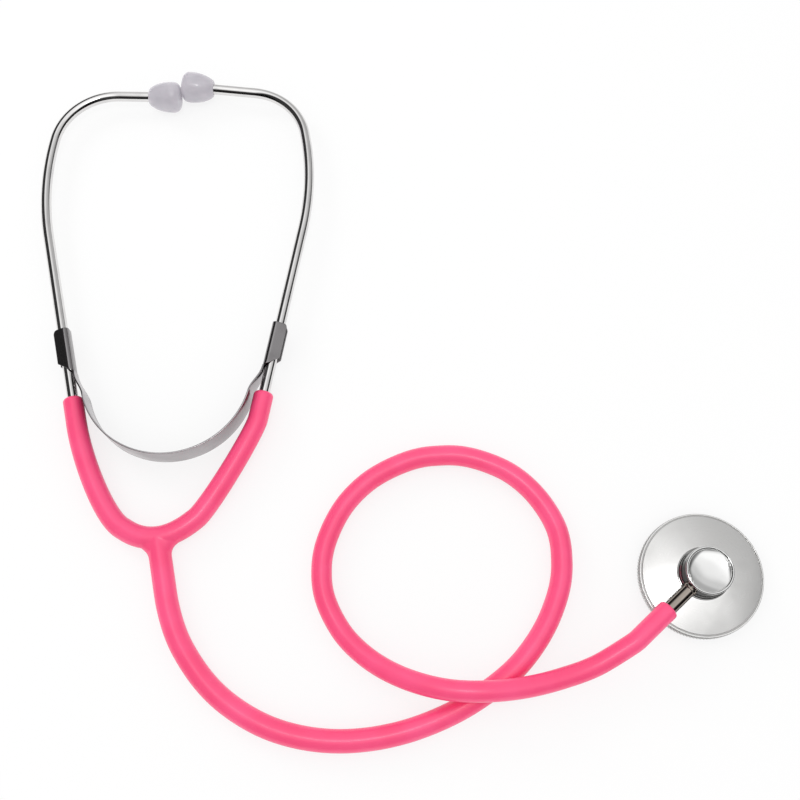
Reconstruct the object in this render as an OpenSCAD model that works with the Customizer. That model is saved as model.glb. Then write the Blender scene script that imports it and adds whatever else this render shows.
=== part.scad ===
// Toy stethoscope, lying on a table with its hose in one loop.
// Millimetres, +Z up. The origin is the centre of the diaphragm's outer face, on the table.
// +Y runs along the binaural frame, from the hose fork towards the ear tips.

/* [Ear tubes] */
// Outer diameter of the bent metal tubes
tube_d = 4.1; // [3.8:0.1:5]
// Wall of the bent metal tubes
tube_wall = 0.6; // [0.4:0.1:0.8]
// Distance between the two tube axes at the top of the hose sleeves
tube_spacing = 71.8; // [66:0.2:78]
// Outward slant of each tube's straight lower run, in degrees
tube_slant = 12; // [10:0.5:14]
// Straight run of each tube above its hose sleeve
lower_run = 70; // [60:1:76]
// Radius of the long inward curve
sway_radius = 117; // [105:1:130]
// Turn of the long inward curve, in degrees
sway_angle = 22; // [18:0.5:25]
// Radius of the upper bend
bend_radius = 24.3; // [20:0.1:28]
// Turn of the left tube's upper bend, in degrees
left_bend = 83; // [72:1:86]
// Turn of the right tube's upper bend, in degrees
right_bend = 72; // [68:1:86]

/* [Ear tips] */
// Largest diameter of a soft ear tip
tip_d = 12.4; // [11:0.1:14]
// Length of an ear tip along its tube
tip_len = 13.2; // [12:0.1:16]
// Sound hole through an ear tip
tip_hole_d = 2.2; // [1.6:0.1:2.8]
// Depth to which a tube enters its ear tip
tip_grip = 8.5; // [6:0.5:10]
// Gap between the two ear tips at rest
tip_gap = 0.6; // [0.5:0.1:2]

/* [Leaf spring] */
// Width of the spring strip, which stands on edge
spring_w = 11.5; // [9:0.5:12]
// Thickness of the spring strip and of its clips
spring_t = 0.6; // [0.4:0.1:0.8]
// Distance from the sleeve tops down to the bottom of the U
spring_drop = 24.2; // [20:0.2:28]
// Gap between the strip and the hose sleeves beside it
spring_gap = 0.9; // [0.7:0.1:3]
// Distance below the sleeve tops at which the U ends and the strip turns in to its clip
spring_end_drop = 1.7; // [1:0.1:3]

/* [Spring clips] */
// Length of a clip along its tube
clip_len = 18; // [16:0.5:24]
// Free length of tube between sleeve and clip
clip_gap = 10; // [8:0.5:12]
// Slope of a clip's flanges, which pinch the tube, in degrees
clip_slope = 17; // [12:1:20]
// Reach of the flanges past the tube's axis
clip_reach = 3.1; // [2.6:0.1:3.4]
// Length taken off each flange by the slanted lower cut
clip_cut = 4.5; // [3:0.5:7]
// Radius of the fold between web and flange, to the middle of the sheet
clip_fold_r = 1.4; // [1:0.1:1.8]

/* [Hose] */
// Outer diameter of the hose at the fork
hose_d = 8.1; // [7.6:0.1:8.4]
// Outer diameter of the hose at the chestpiece
hose_end_d = 7.1; // [6.6:0.1:7.6]
// Bore of the hose
hose_bore = 4.2; // [3.4:0.1:4.6]
// Outer diameter of the sleeves on the ear tubes
sleeve_d = 7.5; // [7.2:0.1:8.2]
// Length of a sleeve
sleeve_len = 9.5; // [8:0.5:12]
// Depth to which a tube enters its sleeve
sleeve_grip = 8.5; // [6:0.5:9]
// Rounding of a sleeve's upper rim
sleeve_round = 1.6; // [0.8:0.1:1.8]

/* [Chestpiece] */
// Outer diameter over the knurl of the retaining ring
ring_d = 44.6; // [40:0.2:50]
// Height of the retaining ring
ring_h = 3.2; // [3:0.1:4.4]
// Teeth of the knurl round the ring
knurl_teeth = 120; // [60:10:150]
// Depth of the knurl
knurl_depth = 0.25; // [0.1:0.05:0.4]
// Width of the ring's lip under the diaphragm's edge
lip_w = 2.2; // [1.6:0.1:2.8]
// Height of the rolled rim above the ring
rim_h = 1; // [0.8:0.1:1.5]
// Rise of the plate's cone from rim to hub
cone_rise = 2.4; // [1.4:0.1:3]
// Wall of the plate
plate_wall = 1.4; // [1:0.1:2]
// Thickness of the diaphragm
diaphragm_t = 0.4; // [0.3:0.05:0.6]
// Step by which the diaphragm's edge stands back from its face
diaphragm_step = 0.45; // [0.3:0.05:0.7]
// Diameter of the hub's wall
hub_d = 17; // [15:0.5:19]
// Diameter of the hub's foot
hub_foot_d = 18.8; // [18:0.2:22]
// Height of the hub above the plate
hub_h = 8.2; // [7:0.2:10]
// Width of the bright bead round the hub's top
bead_w = 1; // [0.6:0.1:1.4]
// Depth of the dish in the hub's top
dish_depth = 0.9; // [0.5:0.1:1.4]
// Diameter of the spigot that fixes the hub in the plate
spigot_d = 6.8; // [5:0.2:8]
// Outer diameter of the stem
stem_d = 4.8; // [4.4:0.1:5.2]
// Bore of the stem
stem_bore = 2.4; // [2:0.1:2.8]
// Direction of the stem, in degrees from +X
stem_angle = 220; // [215:1:225]
// Distance from the hub's axis to the hose end
stem_reach = 18.9; // [17:0.1:21]
// Length of hose gripped by the stem
stem_grip = 11; // [9:0.5:14]

/* [Fits] */
// Radial running clearance between pieces that turn in each other
run_fit = 0.05; // [0.02:0.01:0.1]
// Clearance between pieces that are fixed in each other
seat_fit = 0.02; // [0.01:0.01:0.05]

/* [Hidden] */

PINK = [1, 0.34, 0.52];
CHROME = [0.82, 0.82, 0.84];
STEEL = [0.66, 0.64, 0.66];
ALUMINIUM = [0.8, 0.8, 0.8];
TIP_GREY = [0.72, 0.7, 0.74];

// Facets of round pieces, of the hoses, of the fork and of the ear tubes
$fn = 64;
hose_sides = 12;
fork_sides = 16;
tube_sides = 16;
// Overrun of every cut
cut = 0.5;
// Short straight run with which a strip or a hose arm meets its neighbour
end_run = 1;

// Height of the tubes above the table: the ear tips rest on it
tube_z = tip_d / 2;
hose_z = hose_d / 2;
tube_r = tube_d / 2;
tube_bore = tube_d - 2 * tube_wall;

// Middle of the binaural frame, at the top of the hose sleeves
frame_at = [-192.1, 73.2];

// Middle of the hose fork, and each branch as [reach, angle to its end, heading at its end]
fork_at = [-194.5, 20];
left_branch = [12.7, 165, 147];
right_branch = [13.9, 23.3, 37];
trunk = [11.2, -78.7, -79.6];
// Pull of the curve from arm to arm, as a share of the branches' reach
branch_pull_share = 0.7;
// Fillets where the trunk leaves the arms, and the heights of their layers as shares of the radius
fork_fillet = 2;
fillet_shares = [0.3, 0.6, 0.85];
// Pull of the arms' curves, as shares of the distance that they span
left_arm_pull_shares = [0.31, 0.175];
right_arm_pull_shares = [0.12, 0.13];

// Route of the hose between fork and chestpiece, as [x, y, z] of its middle:
// down from the fork, round one loop, over itself in a low hump, and up to the stem
hose_points = [
    [-189, -7, 4.1], [-185, -17.5, 4.1], [-177.5, -29, 4.1], [-168.5, -38, 4.1],
    [-157, -45.3, 4.1], [-145, -49.7, 4.1], [-132, -51.8, 4.1], [-118.5, -51.5, 4.1],
    [-105, -49, 4.1], [-92, -44.5, 4.1], [-81.5, -39.2, 4.1], [-71.5, -32.5, 4],
    [-64, -25.5, 4], [-56.5, -15.3, 4], [-51, -3, 4], [-49.3, 8, 4],
    [-50.5, 19, 4], [-57, 31, 4], [-67, 40.3, 4], [-80.5, 46, 4],
    [-92, 47, 4], [-103, 45.3, 4], [-116.5, 39, 4], [-127, 29, 4],
    [-133.5, 16.3, 4], [-135.3, 5.5, 4], [-133.8, -5, 4], [-127.5, -17, 4.3],
    [-117.5, -26.5, 6], [-105.5, -33, 9], [-92.2, -36.8, 11.5], [-78.5, -37.7, 12.1],
    [-64.5, -36.5, 9.8], [-51, -33.5, 7.8], [-39.8, -29.7, 8.2]
];

// Heights in the chestpiece, from the table up
lip_h = diaphragm_step;
flange_z = lip_h + run_fit;
rim_seat_z = flange_z + diaphragm_t + seat_fit;
rim_z = ring_h + run_fit;
cone_z = rim_z + rim_h;
plate_top_z = cone_z + cone_rise;
hub_top_z = plate_top_z + hub_h;
ring_r = ring_d / 2;
ring_wall = 1.4;
ring_chamfer = 0.4;
// The knurl's roots stand proud of the ring's plain body by this much
knurl_proud = 0.1;
thread_r = ring_r - knurl_depth - ring_wall;
lip_r = thread_r - lip_w;
rim_r = ring_r - knurl_depth;
groove_w = 0.5;
groove_depth = 0.3;
hub_foot_h = 0.6;
swage_w = 0.9;
swage_h = 0.6;
spigot_r = spigot_d / 2;
passage_d = 3;
// Middle height of the stem, between the hub's foot and its bead
stem_z = plate_top_z + hub_h * 0.47;
stem_root = 3.4;
collar_w = 0.35;
collar_len = 1;
barb_len = 3;
barb_depth = 0.4;
cuff_round = 0.8;
// Straight run of the hose below the cuff
cuff_lead = 5;

function unit(v) = v / norm(v);
function polar(r, a) = [r * cos(a), r * sin(a)];
function flat(p, z) = [p[0], p[1], z];
function bezier(a, b, c, d, t) =
    pow(1 - t, 3) * a + 3 * t * pow(1 - t, 2) * b + 3 * t * t * (1 - t) * c + pow(t, 3) * d;
function curve(a, b, c, d, steps) = [for (i = [0:steps]) bezier(a, b, c, d, i / steps)];
function arc(centre, r, from, to, steps) =
    [for (i = [0:steps]) centre + polar(r, from + (to - from) * i / steps)];
function mirrored(points) = [for (i = [len(points) - 1:-1:0]) [-points[i][0], points[i][1]]];
function flipped(points) = [for (i = [len(points) - 1:-1:0]) [points[i][0], -points[i][1]]];
function heading(path, i) = unit(path[min(i + 1, len(path) - 1)] - path[max(i - 1, 0)]);
// Midpoint between p[i] and p[i + 1] on a smooth curve through the points
function midway(p, i) =
    let (last = len(p) - 1)
    (9 * (p[i] + p[i + 1]) - p[max(i - 1, 0)] - p[min(i + 2, last)]) / 16;
// Path with those midpoints in all but its first and last step, which stay straight
function smooth(p) =
    let (last = len(p) - 1)
    concat([p[0]], [for (i = [1:last - 2]) each [p[i], midway(p, i)]], [p[last - 1], p[last]]);

// Outline of a thin sheet of thickness t that follows an open path
function sheet_side(path, offset) =
    [for (i = [0:len(path) - 1])
        let (h = heading(path, i)) path[i] + offset * [-h[1], h[0]]];
function sheet(path, t) =
    let (back = sheet_side(path, -t / 2))
    concat(sheet_side(path, t / 2), [for (i = [len(back) - 1:-1:0]) back[i]]);

// Ring of points round a path's i-th point
function ring_at(path, i, r, sides) =
    let (h = heading(path, i), across = unit(cross([0, 0, 1], h)), up = cross(h, across))
    [for (k = [0:sides - 1])
        path[i] + r * (cos(360 * k / sides) * across + sin(360 * k / sides) * up)];

// Solid rod along a path, whose radius goes from r_start to r_end
module swept_rod(path, r_start, r_end, sides) {
    last = len(path) - 1;
    points = [for (i = [0:last])
        each ring_at(path, i, r_start + (r_end - r_start) * i / last, sides)];
    walls = [for (i = [0:last - 1]) for (k = [0:sides - 1])
        let (a = i * sides + k, b = i * sides + (k + 1) % sides)
        each [[a, b + sides, b], [a, a + sides, b + sides]]];
    start_cap = [for (k = [0:sides - 1]) k];
    end_cap = [for (k = [sides - 1:-1:0]) last * sides + k];
    polyhedron(points, concat(walls, [start_cap, end_cap]), convexity = 10);
}

// Hollow tube along a path, as one closed surface: outside, bore and two ring ends
module swept_tube(path, r_start, r_end, bore_r, sides) {
    last = len(path) - 1;
    count = (last + 1) * sides;
    outside = [for (i = [0:last])
        each ring_at(path, i, r_start + (r_end - r_start) * i / last, sides)];
    inside = [for (i = [0:last]) each ring_at(path, i, bore_r, sides)];
    walls = [for (i = [0:last - 1]) for (k = [0:sides - 1])
        let (a = i * sides + k, b = i * sides + (k + 1) % sides)
        each [[a, b + sides, b], [a, a + sides, b + sides],
            [count + a, count + b, count + b + sides],
            [count + a, count + b + sides, count + a + sides]]];
    ends = [for (k = [0:sides - 1])
        let (n = (k + 1) % sides, e = last * sides)
        each [[k, count + n, count + k], [k, n, count + n],
            [e + k, count + e + n, e + n], [e + k, count + e + k, count + e + n]]];
    polyhedron(concat(outside, inside), concat(walls, ends), convexity = 10);
}

// Headings along a tube, in degrees outward from +Y
sway_end = tube_slant - sway_angle;
function tip_heading(bend) = sway_end - bend;
// Distance of the end of the upper bend from the middle of the frame
function bend_end_x(bend) =
    tube_spacing / 2 + lower_run * sin(tube_slant)
    + sway_radius * (cos(sway_end) - cos(tube_slant))
    + bend_radius * (cos(tip_heading(bend)) - cos(sway_end));
// Straight run from the upper bend to the ear tip, so that the tips meet at the middle
function tip_run(bend) = (bend_end_x(bend) - tip_gap / 2) / -sin(tip_heading(bend)) - tip_len;

// Places children in the frame of the right ear tube: +Y along its lower run
module at_right_tube() {
    translate([frame_at[0] + tube_spacing / 2, frame_at[1], tube_z])
        rotate([0, 0, -tube_slant]) children();
}

// Mirrors a right-hand piece over to the left side of the frame
module left_side() {
    translate([2 * frame_at[0], 0, 0]) mirror([1, 0, 0]) children();
}

module after_bend(r, angle) {
    translate([-r, 0, 0]) rotate([0, 0, angle]) translate([r, 0, 0]) children();
}

// Places children at the start of an ear tip, +Y along the tip
module at_tip(bend) {
    at_right_tube()
        translate([0, lower_run, 0])
            after_bend(sway_radius, sway_angle)
                after_bend(bend_radius, bend)
                    translate([0, tip_run(bend), 0]) children();
}

// Points along a bend from the end of a course, turned by angle to the left of the heading from
function bend_points(start, from, r, angle, steps) =
    arc(start - polar(r, from - 90), r, from - 90, from - 90 + angle, steps);
// Middle line of an ear tube in the frame of its lower run, from sleeve to ear tip
function tube_line(bend) =
    let (sway = bend_points([0, lower_run], 90, sway_radius, sway_angle, 7),
        top = bend_points(sway[7], 90 + sway_angle, bend_radius, bend, 20),
        last = 90 + sway_angle + bend)
    concat([[0, -sleeve_grip]], sway, [for (i = [1:20]) top[i]],
        [top[20] + polar(tip_run(bend) + tip_grip, last)]);

module ear_tube(bend) {
    at_right_tube()
        swept_tube([for (p = tube_line(bend)) flat(p, 0)], tube_d / 2, tube_d / 2,
            tube_bore / 2, tube_sides);
}

// Outline of an ear tip, as [share of its length, share of its radius]
tip_shares = [[0, 0.42], [0.02, 0.5], [0.06, 0.6], [0.12, 0.68], [0.22, 0.79], [0.34, 0.885],
    [0.46, 0.945], [0.58, 0.98], [0.7, 1], [0.8, 0.99], [0.87, 0.945], [0.93, 0.85],
    [0.97, 0.72], [0.992, 0.56], [1, 0.4]];

module ear_tip(bend) {
    hole_r = tip_hole_d / 2;
    outline = [for (s = tip_shares) [s[1] * tip_d / 2, s[0] * tip_len]];
    at_tip(bend)
        rotate([-90, 0, 0])
            difference() {
                rotate_extrude() polygon(concat([[0, 0]], outline, [[0, tip_len]]));
                translate([0, 0, -cut]) cylinder(r = tube_r + run_fit, h = tip_grip + cut);
                cylinder(r = hole_r, h = tip_len + cut);
            }
}

// Middle line of a clip's section, as [outward from the tube, height], from one flange to the other
web_u = tube_r + run_fit + spring_t / 2;
fold_centre = [clip_fold_r - web_u,
    (web_u - clip_fold_r - (clip_fold_r - web_u) * sin(clip_slope)) / cos(clip_slope)];
flange_tip = [clip_reach, (web_u - clip_reach * sin(clip_slope)) / cos(clip_slope)];
upper_half = concat([flange_tip], arc(fold_centre, clip_fold_r, 90 - clip_slope, 180, 8));
clip_line = concat(upper_half, flipped(upper_half));
clip_corner = 2.2;

module spring_clip() {
    outer = clip_reach + cut;
    at_right_tube()
        translate([0, clip_gap, 0])
            difference() {
                rotate([-90, 0, 0])
                    linear_extrude(height = clip_len)
                        polygon([for (p = sheet(clip_line, spring_t)) [p[0], -p[1]]]);
                translate([0, 0, -tip_d / 2])
                    linear_extrude(height = tip_d) {
                        polygon([[-tube_r, 0], [-tube_r, -cut], [outer, -cut], [outer, clip_cut]]);
                        polygon([[outer, clip_len + cut], [outer, clip_len - clip_corner],
                            [clip_reach, clip_len - clip_corner],
                            [clip_reach - clip_corner, clip_len],
                            [clip_reach - clip_corner, clip_len + cut]]);
                    }
            }
}

// Right half of the strip in plan, from the middle of the frame: U, then a swan neck up to the clip
along_tube = [sin(tube_slant), cos(tube_slant)];
out_of_tube = [cos(tube_slant), -sin(tube_slant)];
strip_end = [tube_spacing / 2, 0] + clip_gap * along_tube - web_u * out_of_tube;
u_end = [tube_spacing / 2, 0] - spring_end_drop * along_tube
    - (sleeve_d / 2 + spring_gap + spring_t / 2) * out_of_tube;
// The U is the arc through its lowest point and its two ends
u_depth = u_end[1] + spring_drop;
spring_radius = (pow(u_end[0], 2) + pow(u_depth, 2)) / (2 * u_depth);
spring_turn = acos(1 - u_depth / spring_radius);
neck_pull = 0.35 * norm(strip_end - u_end);
strip_half = concat(
    arc([0, spring_radius - spring_drop], spring_radius, -90, spring_turn - 90, 18),
    [for (i = [1:7]) bezier(u_end, u_end + neck_pull * polar(1, spring_turn),
        strip_end - (neck_pull + end_run) * along_tube, strip_end - end_run * along_tube, i / 7)],
    [strip_end]);
strip_left = mirrored(strip_half);
strip_line = concat([for (i = [0:len(strip_left) - 2]) strip_left[i]], strip_half);
// Width of the strip's ends, which meet the webs of the clips
spring_end_w = 2 * (fold_centre[1] + clip_fold_r * 0.7);

module leaf_spring() {
    half_w = spring_w / 2;
    half_end = spring_end_w / 2;
    low_y = -spring_drop - spring_t;
    high_y = strip_end[1] + spring_t;
    translate([frame_at[0], frame_at[1], tube_z])
        intersection() {
            translate([0, 0, -half_w]) linear_extrude(height = spring_w)
                polygon(sheet(strip_line, spring_t));
            rotate([90, 0, 90])
                linear_extrude(height = 2 * tube_spacing, center = true)
                    polygon([[low_y, -half_w], [u_end[1], -half_w], [high_y, -half_end],
                        [high_y, half_end], [u_end[1], half_w], [low_y, half_w]]);
        }
}

module hose_sleeve() {
    r = sleeve_d / 2;
    bore_r = tube_r + run_fit;
    outline = concat([[bore_r, -sleeve_len], [r, -sleeve_len]],
        arc([r - sleeve_round, -sleeve_round], sleeve_round, 0, 90, 10), [[bore_r, 0]]);
    at_right_tube() rotate([-90, 0, 0]) rotate_extrude() polygon(outline);
}

// Ends of the fork's branches, and the directions in which they leave it
function branch_end(b) = flat(fork_at + polar(b[0], b[1]), hose_z);
function branch_way(b) = flat(polar(1, b[2]), 0);
// Middle line from arm to arm, and from its lowest point down the trunk
left_end = branch_end(left_branch);
right_end = branch_end(right_branch);
left_pull = (end_run + branch_pull_share * left_branch[0]) * branch_way(left_branch);
right_pull = (end_run + branch_pull_share * right_branch[0]) * branch_way(right_branch);
arm_line = concat([left_end],
    curve(left_end - end_run * branch_way(left_branch), left_end - left_pull,
        right_end - right_pull, right_end - end_run * branch_way(right_branch), 16),
    [right_end]);
trunk_start = arm_line[9];
trunk_line = concat([for (i = [0:3]) trunk_start
        + (branch_end(trunk) - end_run * branch_way(trunk) - trunk_start) * i / 3],
    [branch_end(trunk)]);

// Both lines as rods, run on by overrun past the three open ends
module fork_rods(r, overrun) {
    last = len(arm_line) - 1;
    swept_rod(concat([left_end + overrun * branch_way(left_branch)],
        [for (i = [1:last - 1]) arm_line[i]],
        [right_end + overrun * branch_way(right_branch)]), r, r, fork_sides);
    swept_rod(concat([for (i = [0:3]) trunk_line[i]],
        [branch_end(trunk) + overrun * branch_way(trunk)]), r, r, fork_sides);
}

// Web in the corners between the arms and the trunk, in layers that follow the hose's roundness
module fork_web() {
    for (share = fillet_shares) {
        width = hose_d * sqrt(1 - share * share);
        translate([0, 0, hose_z - share * hose_d / 2])
            linear_extrude(height = share * hose_d)
                offset(r = -fork_fillet, $fn = 24) offset(r = fork_fillet, $fn = 24)
                    for (line = [arm_line, trunk_line])
                        polygon(sheet([for (p = line) [p[0], p[1]]], width));
    }
}

module hose_fork() {
    difference() {
        union() {
            fork_rods(hose_d / 2, 0);
            fork_web();
        }
        fork_rods(hose_bore / 2, cut);
    }
}

// Arm of the hose from a sleeve's lower end to a branch of the fork; side is 1 right, -1 left
module hose_arm(side, branch, pull_shares) {
    down = -[side * along_tube[0], along_tube[1], 0];
    start = flat(frame_at + [side * tube_spacing / 2, 0], tube_z) + sleeve_len * down;
    end = branch_end(branch);
    way = branch_way(branch);
    span = norm(end - start);
    course = curve(start + end_run * down, start + (end_run + pull_shares[0] * span) * down,
        end + (end_run + pull_shares[1] * span) * way, end + end_run * way, 14);
    swept_tube(concat([start], course, [end]), sleeve_d / 2, hose_d / 2, hose_bore / 2, hose_sides);
}

// The stem's direction, and the ends of the hose that it grips
stem_way = flat(polar(1, stem_angle), 0);
hose_face = stem_reach * stem_way + [0, 0, stem_z];
cuff_end = hose_face + stem_grip * stem_way;

hose_route = concat([branch_end(trunk), branch_end(trunk) + hose_d * branch_way(trunk)],
    hose_points, [cuff_end + cuff_lead * stem_way, cuff_end]);

module main_hose() {
    swept_tube(smooth(hose_route), hose_d / 2, hose_end_d / 2, hose_bore / 2, hose_sides);
}

// Places children on the stem's axis, +Z away from the hub
module on_stem() {
    translate([0, 0, stem_z]) rotate([0, 0, stem_angle]) rotate([0, 90, 0]) children();
}

module hose_cuff() {
    r = hose_end_d / 2;
    bore_r = stem_d / 2 + run_fit;
    outline = concat([[bore_r, 0]], arc([r - cuff_round, cuff_round], cuff_round, -90, 0, 8),
        [[r, stem_grip], [bore_r, stem_grip]]);
    on_stem() translate([0, 0, stem_reach]) rotate_extrude() polygon(outline);
}

module stem() {
    r = stem_d / 2;
    hub_r = hub_d / 2;
    grip_end = stem_reach + stem_grip - barb_len / 2;
    barbs = floor((grip_end - stem_reach) / barb_len);
    barb_points = [for (i = [0:barbs - 1])
        let (z = stem_reach + i * barb_len)
        each [[r, z], [r, z + barb_len / 3], [r - barb_depth, z + barb_len / 3]]];
    tail = stem_reach + barbs * barb_len;
    on_stem()
        difference() {
            union() {
                rotate_extrude() polygon(concat([[0, stem_root], [r, stem_root]], barb_points,
                    [[r - barb_depth, tail], [0, tail]]));
                translate([0, 0, hub_r + seat_fit]) cylinder(r = r + collar_w, h = collar_len);
            }
            translate([0, 0, stem_root - cut]) cylinder(d = stem_bore, h = tail);
        }
}

module hub() {
    wall_r = hub_d / 2;
    foot_r = hub_foot_d / 2;
    foot_z = plate_top_z + seat_fit;
    flare = foot_r - wall_r;
    dish_r = wall_r - bead_w;
    bead_z = hub_top_z - bead_w / 2;
    // The dish is part of a sphere that passes through its rim
    dish_ball = (dish_r * dish_r + dish_depth * dish_depth) / (2 * dish_depth);
    under_z = plate_top_z - plate_wall;
    outline = concat(
        [[0, under_z], [spigot_r, under_z], [spigot_r, foot_z], [foot_r, foot_z],
            [foot_r, foot_z + hub_foot_h]],
        arc([foot_r, foot_z + hub_foot_h + flare], flare, -90, -180, 8),
        arc([wall_r - bead_w / 2, bead_z], bead_w / 2, 0, 180, 12),
        [for (i = [0:8]) let (x = dish_r * (1 - i / 8))
            [x, bead_z - sqrt(pow(dish_ball, 2) - x * x) + dish_ball - dish_depth]]);
    difference() {
        union() {
            rotate_extrude() polygon(outline);
            translate([0, 0, under_z - swage_h]) cylinder(r = spigot_r + swage_w, h = swage_h - seat_fit);
            translate([0, 0, under_z - swage_h]) cylinder(r = spigot_r, h = swage_h);
        }
        translate([0, 0, under_z - swage_h - cut]) cylinder(d = passage_d, h = stem_z - under_z + swage_h + cut);
        on_stem() cylinder(d = stem_bore, h = wall_r);
        on_stem() translate([0, 0, stem_root - seat_fit]) cylinder(r = stem_d / 2 + seat_fit, h = wall_r);
    }
}

module chest_plate() {
    foot_r = hub_foot_d / 2;
    skirt_r = thread_r - run_fit;
    cavity_r = lip_r;
    groove_r = rim_r - groove_w - rim_h / 2;
    under_z = plate_top_z - plate_wall;
    hole_r = spigot_r + seat_fit;
    outline = concat(
        [[hole_r, under_z], [spigot_r + 2 * swage_w, under_z], [cavity_r, rim_seat_z + plate_wall],
            [cavity_r, rim_seat_z], [skirt_r, rim_seat_z], [skirt_r, rim_z]],
        arc([rim_r - rim_h / 2, rim_z + rim_h / 2], rim_h / 2, -90, 90, 10),
        [[groove_r + groove_w, cone_z], [groove_r + groove_w, cone_z - groove_depth],
            [groove_r, cone_z - groove_depth], [groove_r, cone_z],
            [foot_r, plate_top_z], [hole_r, plate_top_z]]);
    rotate_extrude() polygon(outline);
}

// Outline of the knurl: one crest and one root for each tooth
knurl_outline = [for (i = [0:2 * knurl_teeth - 1])
    polar(i % 2 == 0 ? ring_r : ring_r - knurl_depth, 180 * i / knurl_teeth)];

module retaining_ring() {
    body_r = ring_r - knurl_depth - knurl_proud;
    bore_r = thread_r;
    difference() {
        union() {
            rotate_extrude() polygon([[0, 0], [body_r - ring_chamfer, 0], [body_r, ring_chamfer],
                [body_r, ring_h], [0, ring_h]]);
            translate([0, 0, ring_chamfer]) linear_extrude(height = ring_h - 3 * ring_chamfer)
                polygon(knurl_outline);
        }
        translate([0, 0, lip_h]) cylinder(r = bore_r, h = ring_h);
        translate([0, 0, -cut]) cylinder(r = lip_r, h = ring_h);
    }
}

module diaphragm() {
    face_r = lip_r - 6 * run_fit;
    edge_r = thread_r - run_fit;
    rotate_extrude()
        polygon([[0, 0], [face_r, 0], [face_r, flange_z], [edge_r, flange_z],
            [edge_r, flange_z + diaphragm_t], [face_r - diaphragm_t, flange_z + diaphragm_t],
            [face_r - diaphragm_t, diaphragm_t], [0, diaphragm_t]]);
}

module left_ear_tip() { color(TIP_GREY) left_side() ear_tip(left_bend); }
module right_ear_tip() { color(TIP_GREY) ear_tip(right_bend); }
module left_ear_tube() { color(CHROME) left_side() ear_tube(left_bend); }
module right_ear_tube() { color(CHROME) ear_tube(right_bend); }
module left_spring_clip() { color(STEEL) left_side() spring_clip(); }
module right_spring_clip() { color(STEEL) spring_clip(); }
module left_hose_sleeve() { color(PINK) left_side() hose_sleeve(); }
module right_hose_sleeve() { color(PINK) hose_sleeve(); }
module left_hose_arm() { color(PINK) hose_arm(-1, left_branch, left_arm_pull_shares); }
module right_hose_arm() { color(PINK) hose_arm(1, right_branch, right_arm_pull_shares); }

left_ear_tip();
right_ear_tip();
left_ear_tube();
right_ear_tube();
left_spring_clip();
right_spring_clip();
color(STEEL) leaf_spring();
left_hose_sleeve();
right_hose_sleeve();
left_hose_arm();
right_hose_arm();
color(PINK) hose_fork();
color(PINK) main_hose();
color(PINK) hose_cuff();
color(CHROME) stem();
color(CHROME) hub();
color(ALUMINIUM) chest_plate();
color(ALUMINIUM) retaining_ring();
color("whitesmoke") diaphragm();
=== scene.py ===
"""Looks of a toy stethoscope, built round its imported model.

All lengths are in metres, in the model's own frame: the origin is the centre of the
diaphragm's face, on the table; +Y runs along the ear tubes towards the ear tips, +Z is up.
"""

import logging
import math
from dataclasses import dataclass, field
from enum import Enum
from typing import Any, Iterable, Mapping, Sequence

import bmesh
import bpy
import numpy as np
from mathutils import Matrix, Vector


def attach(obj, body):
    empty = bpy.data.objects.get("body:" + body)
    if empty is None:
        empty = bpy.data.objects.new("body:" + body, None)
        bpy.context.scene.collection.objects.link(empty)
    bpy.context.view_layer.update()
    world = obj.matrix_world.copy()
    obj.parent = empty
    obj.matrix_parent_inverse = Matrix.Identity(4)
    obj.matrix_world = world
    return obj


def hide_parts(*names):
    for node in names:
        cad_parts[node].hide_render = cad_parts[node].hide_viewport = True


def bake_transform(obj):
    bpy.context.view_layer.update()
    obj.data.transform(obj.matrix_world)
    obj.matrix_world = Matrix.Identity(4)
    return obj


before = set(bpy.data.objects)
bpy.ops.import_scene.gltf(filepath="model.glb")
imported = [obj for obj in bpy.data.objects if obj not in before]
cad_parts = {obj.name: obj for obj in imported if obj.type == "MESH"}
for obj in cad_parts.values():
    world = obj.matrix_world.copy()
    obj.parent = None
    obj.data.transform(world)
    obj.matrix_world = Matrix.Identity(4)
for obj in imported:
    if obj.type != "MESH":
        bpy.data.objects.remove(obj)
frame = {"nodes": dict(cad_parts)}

LOG = logging.getLogger("stethoscope")
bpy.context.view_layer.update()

Colour = tuple[float, float, float, float]
Stops = tuple[tuple[float, float], ...]

WHITE: Colour = (1.0, 1.0, 1.0, 1.0)
# Gap between a part and what it is pushed on or turns in
CLEARANCE = 0.00005
# Lift that keeps two faces that meet from lying in one plane
FACE_GAP = 0.00002
# Depth to which a bore is modelled behind its mouth
BORE_SHOWN = 0.003
# Lengths that are rounded off at a fine, a soft and a broad edge
FINE, SOFT, BROAD = 0.0001, 0.0002, 0.0004


class Side(Enum):
    """The two sides of the ear tubes' frame, seen from above."""

    LEFT = -1
    RIGHT = 1

    @property
    def word(self) -> str:
        """The side's name as the model's nodes and bodies have it."""
        return self.name.lower()


class Slot(Enum):
    """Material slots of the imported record."""

    EAR_TIP = "ear_tip_vinyl"
    TUBE = "tube_chrome"
    SPRING = "spring_steel"
    HOSE = "hose_vinyl"
    HUB = "hub_chrome"
    PLATE = "chest_aluminium"
    DIAPHRAGM = "diaphragm_plastic"


class Lines(Enum):
    """Which way the fine marks of a metal's making run, as their density round and along it."""

    ALONG = (160.0, 45.0)
    ROUND = (3.0, 3800.0)


# ---- Curves and outlines


def polar(reach: float, angle: float) -> np.ndarray:
    """Returns the point at a reach and an angle in degrees, in plan."""
    return reach * np.array([math.cos(math.radians(angle)), math.sin(math.radians(angle))])


def flat(point: Sequence[float], height: float) -> np.ndarray:
    """Returns a point in plan, lifted to a height."""
    return np.array([point[0], point[1], height])


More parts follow.
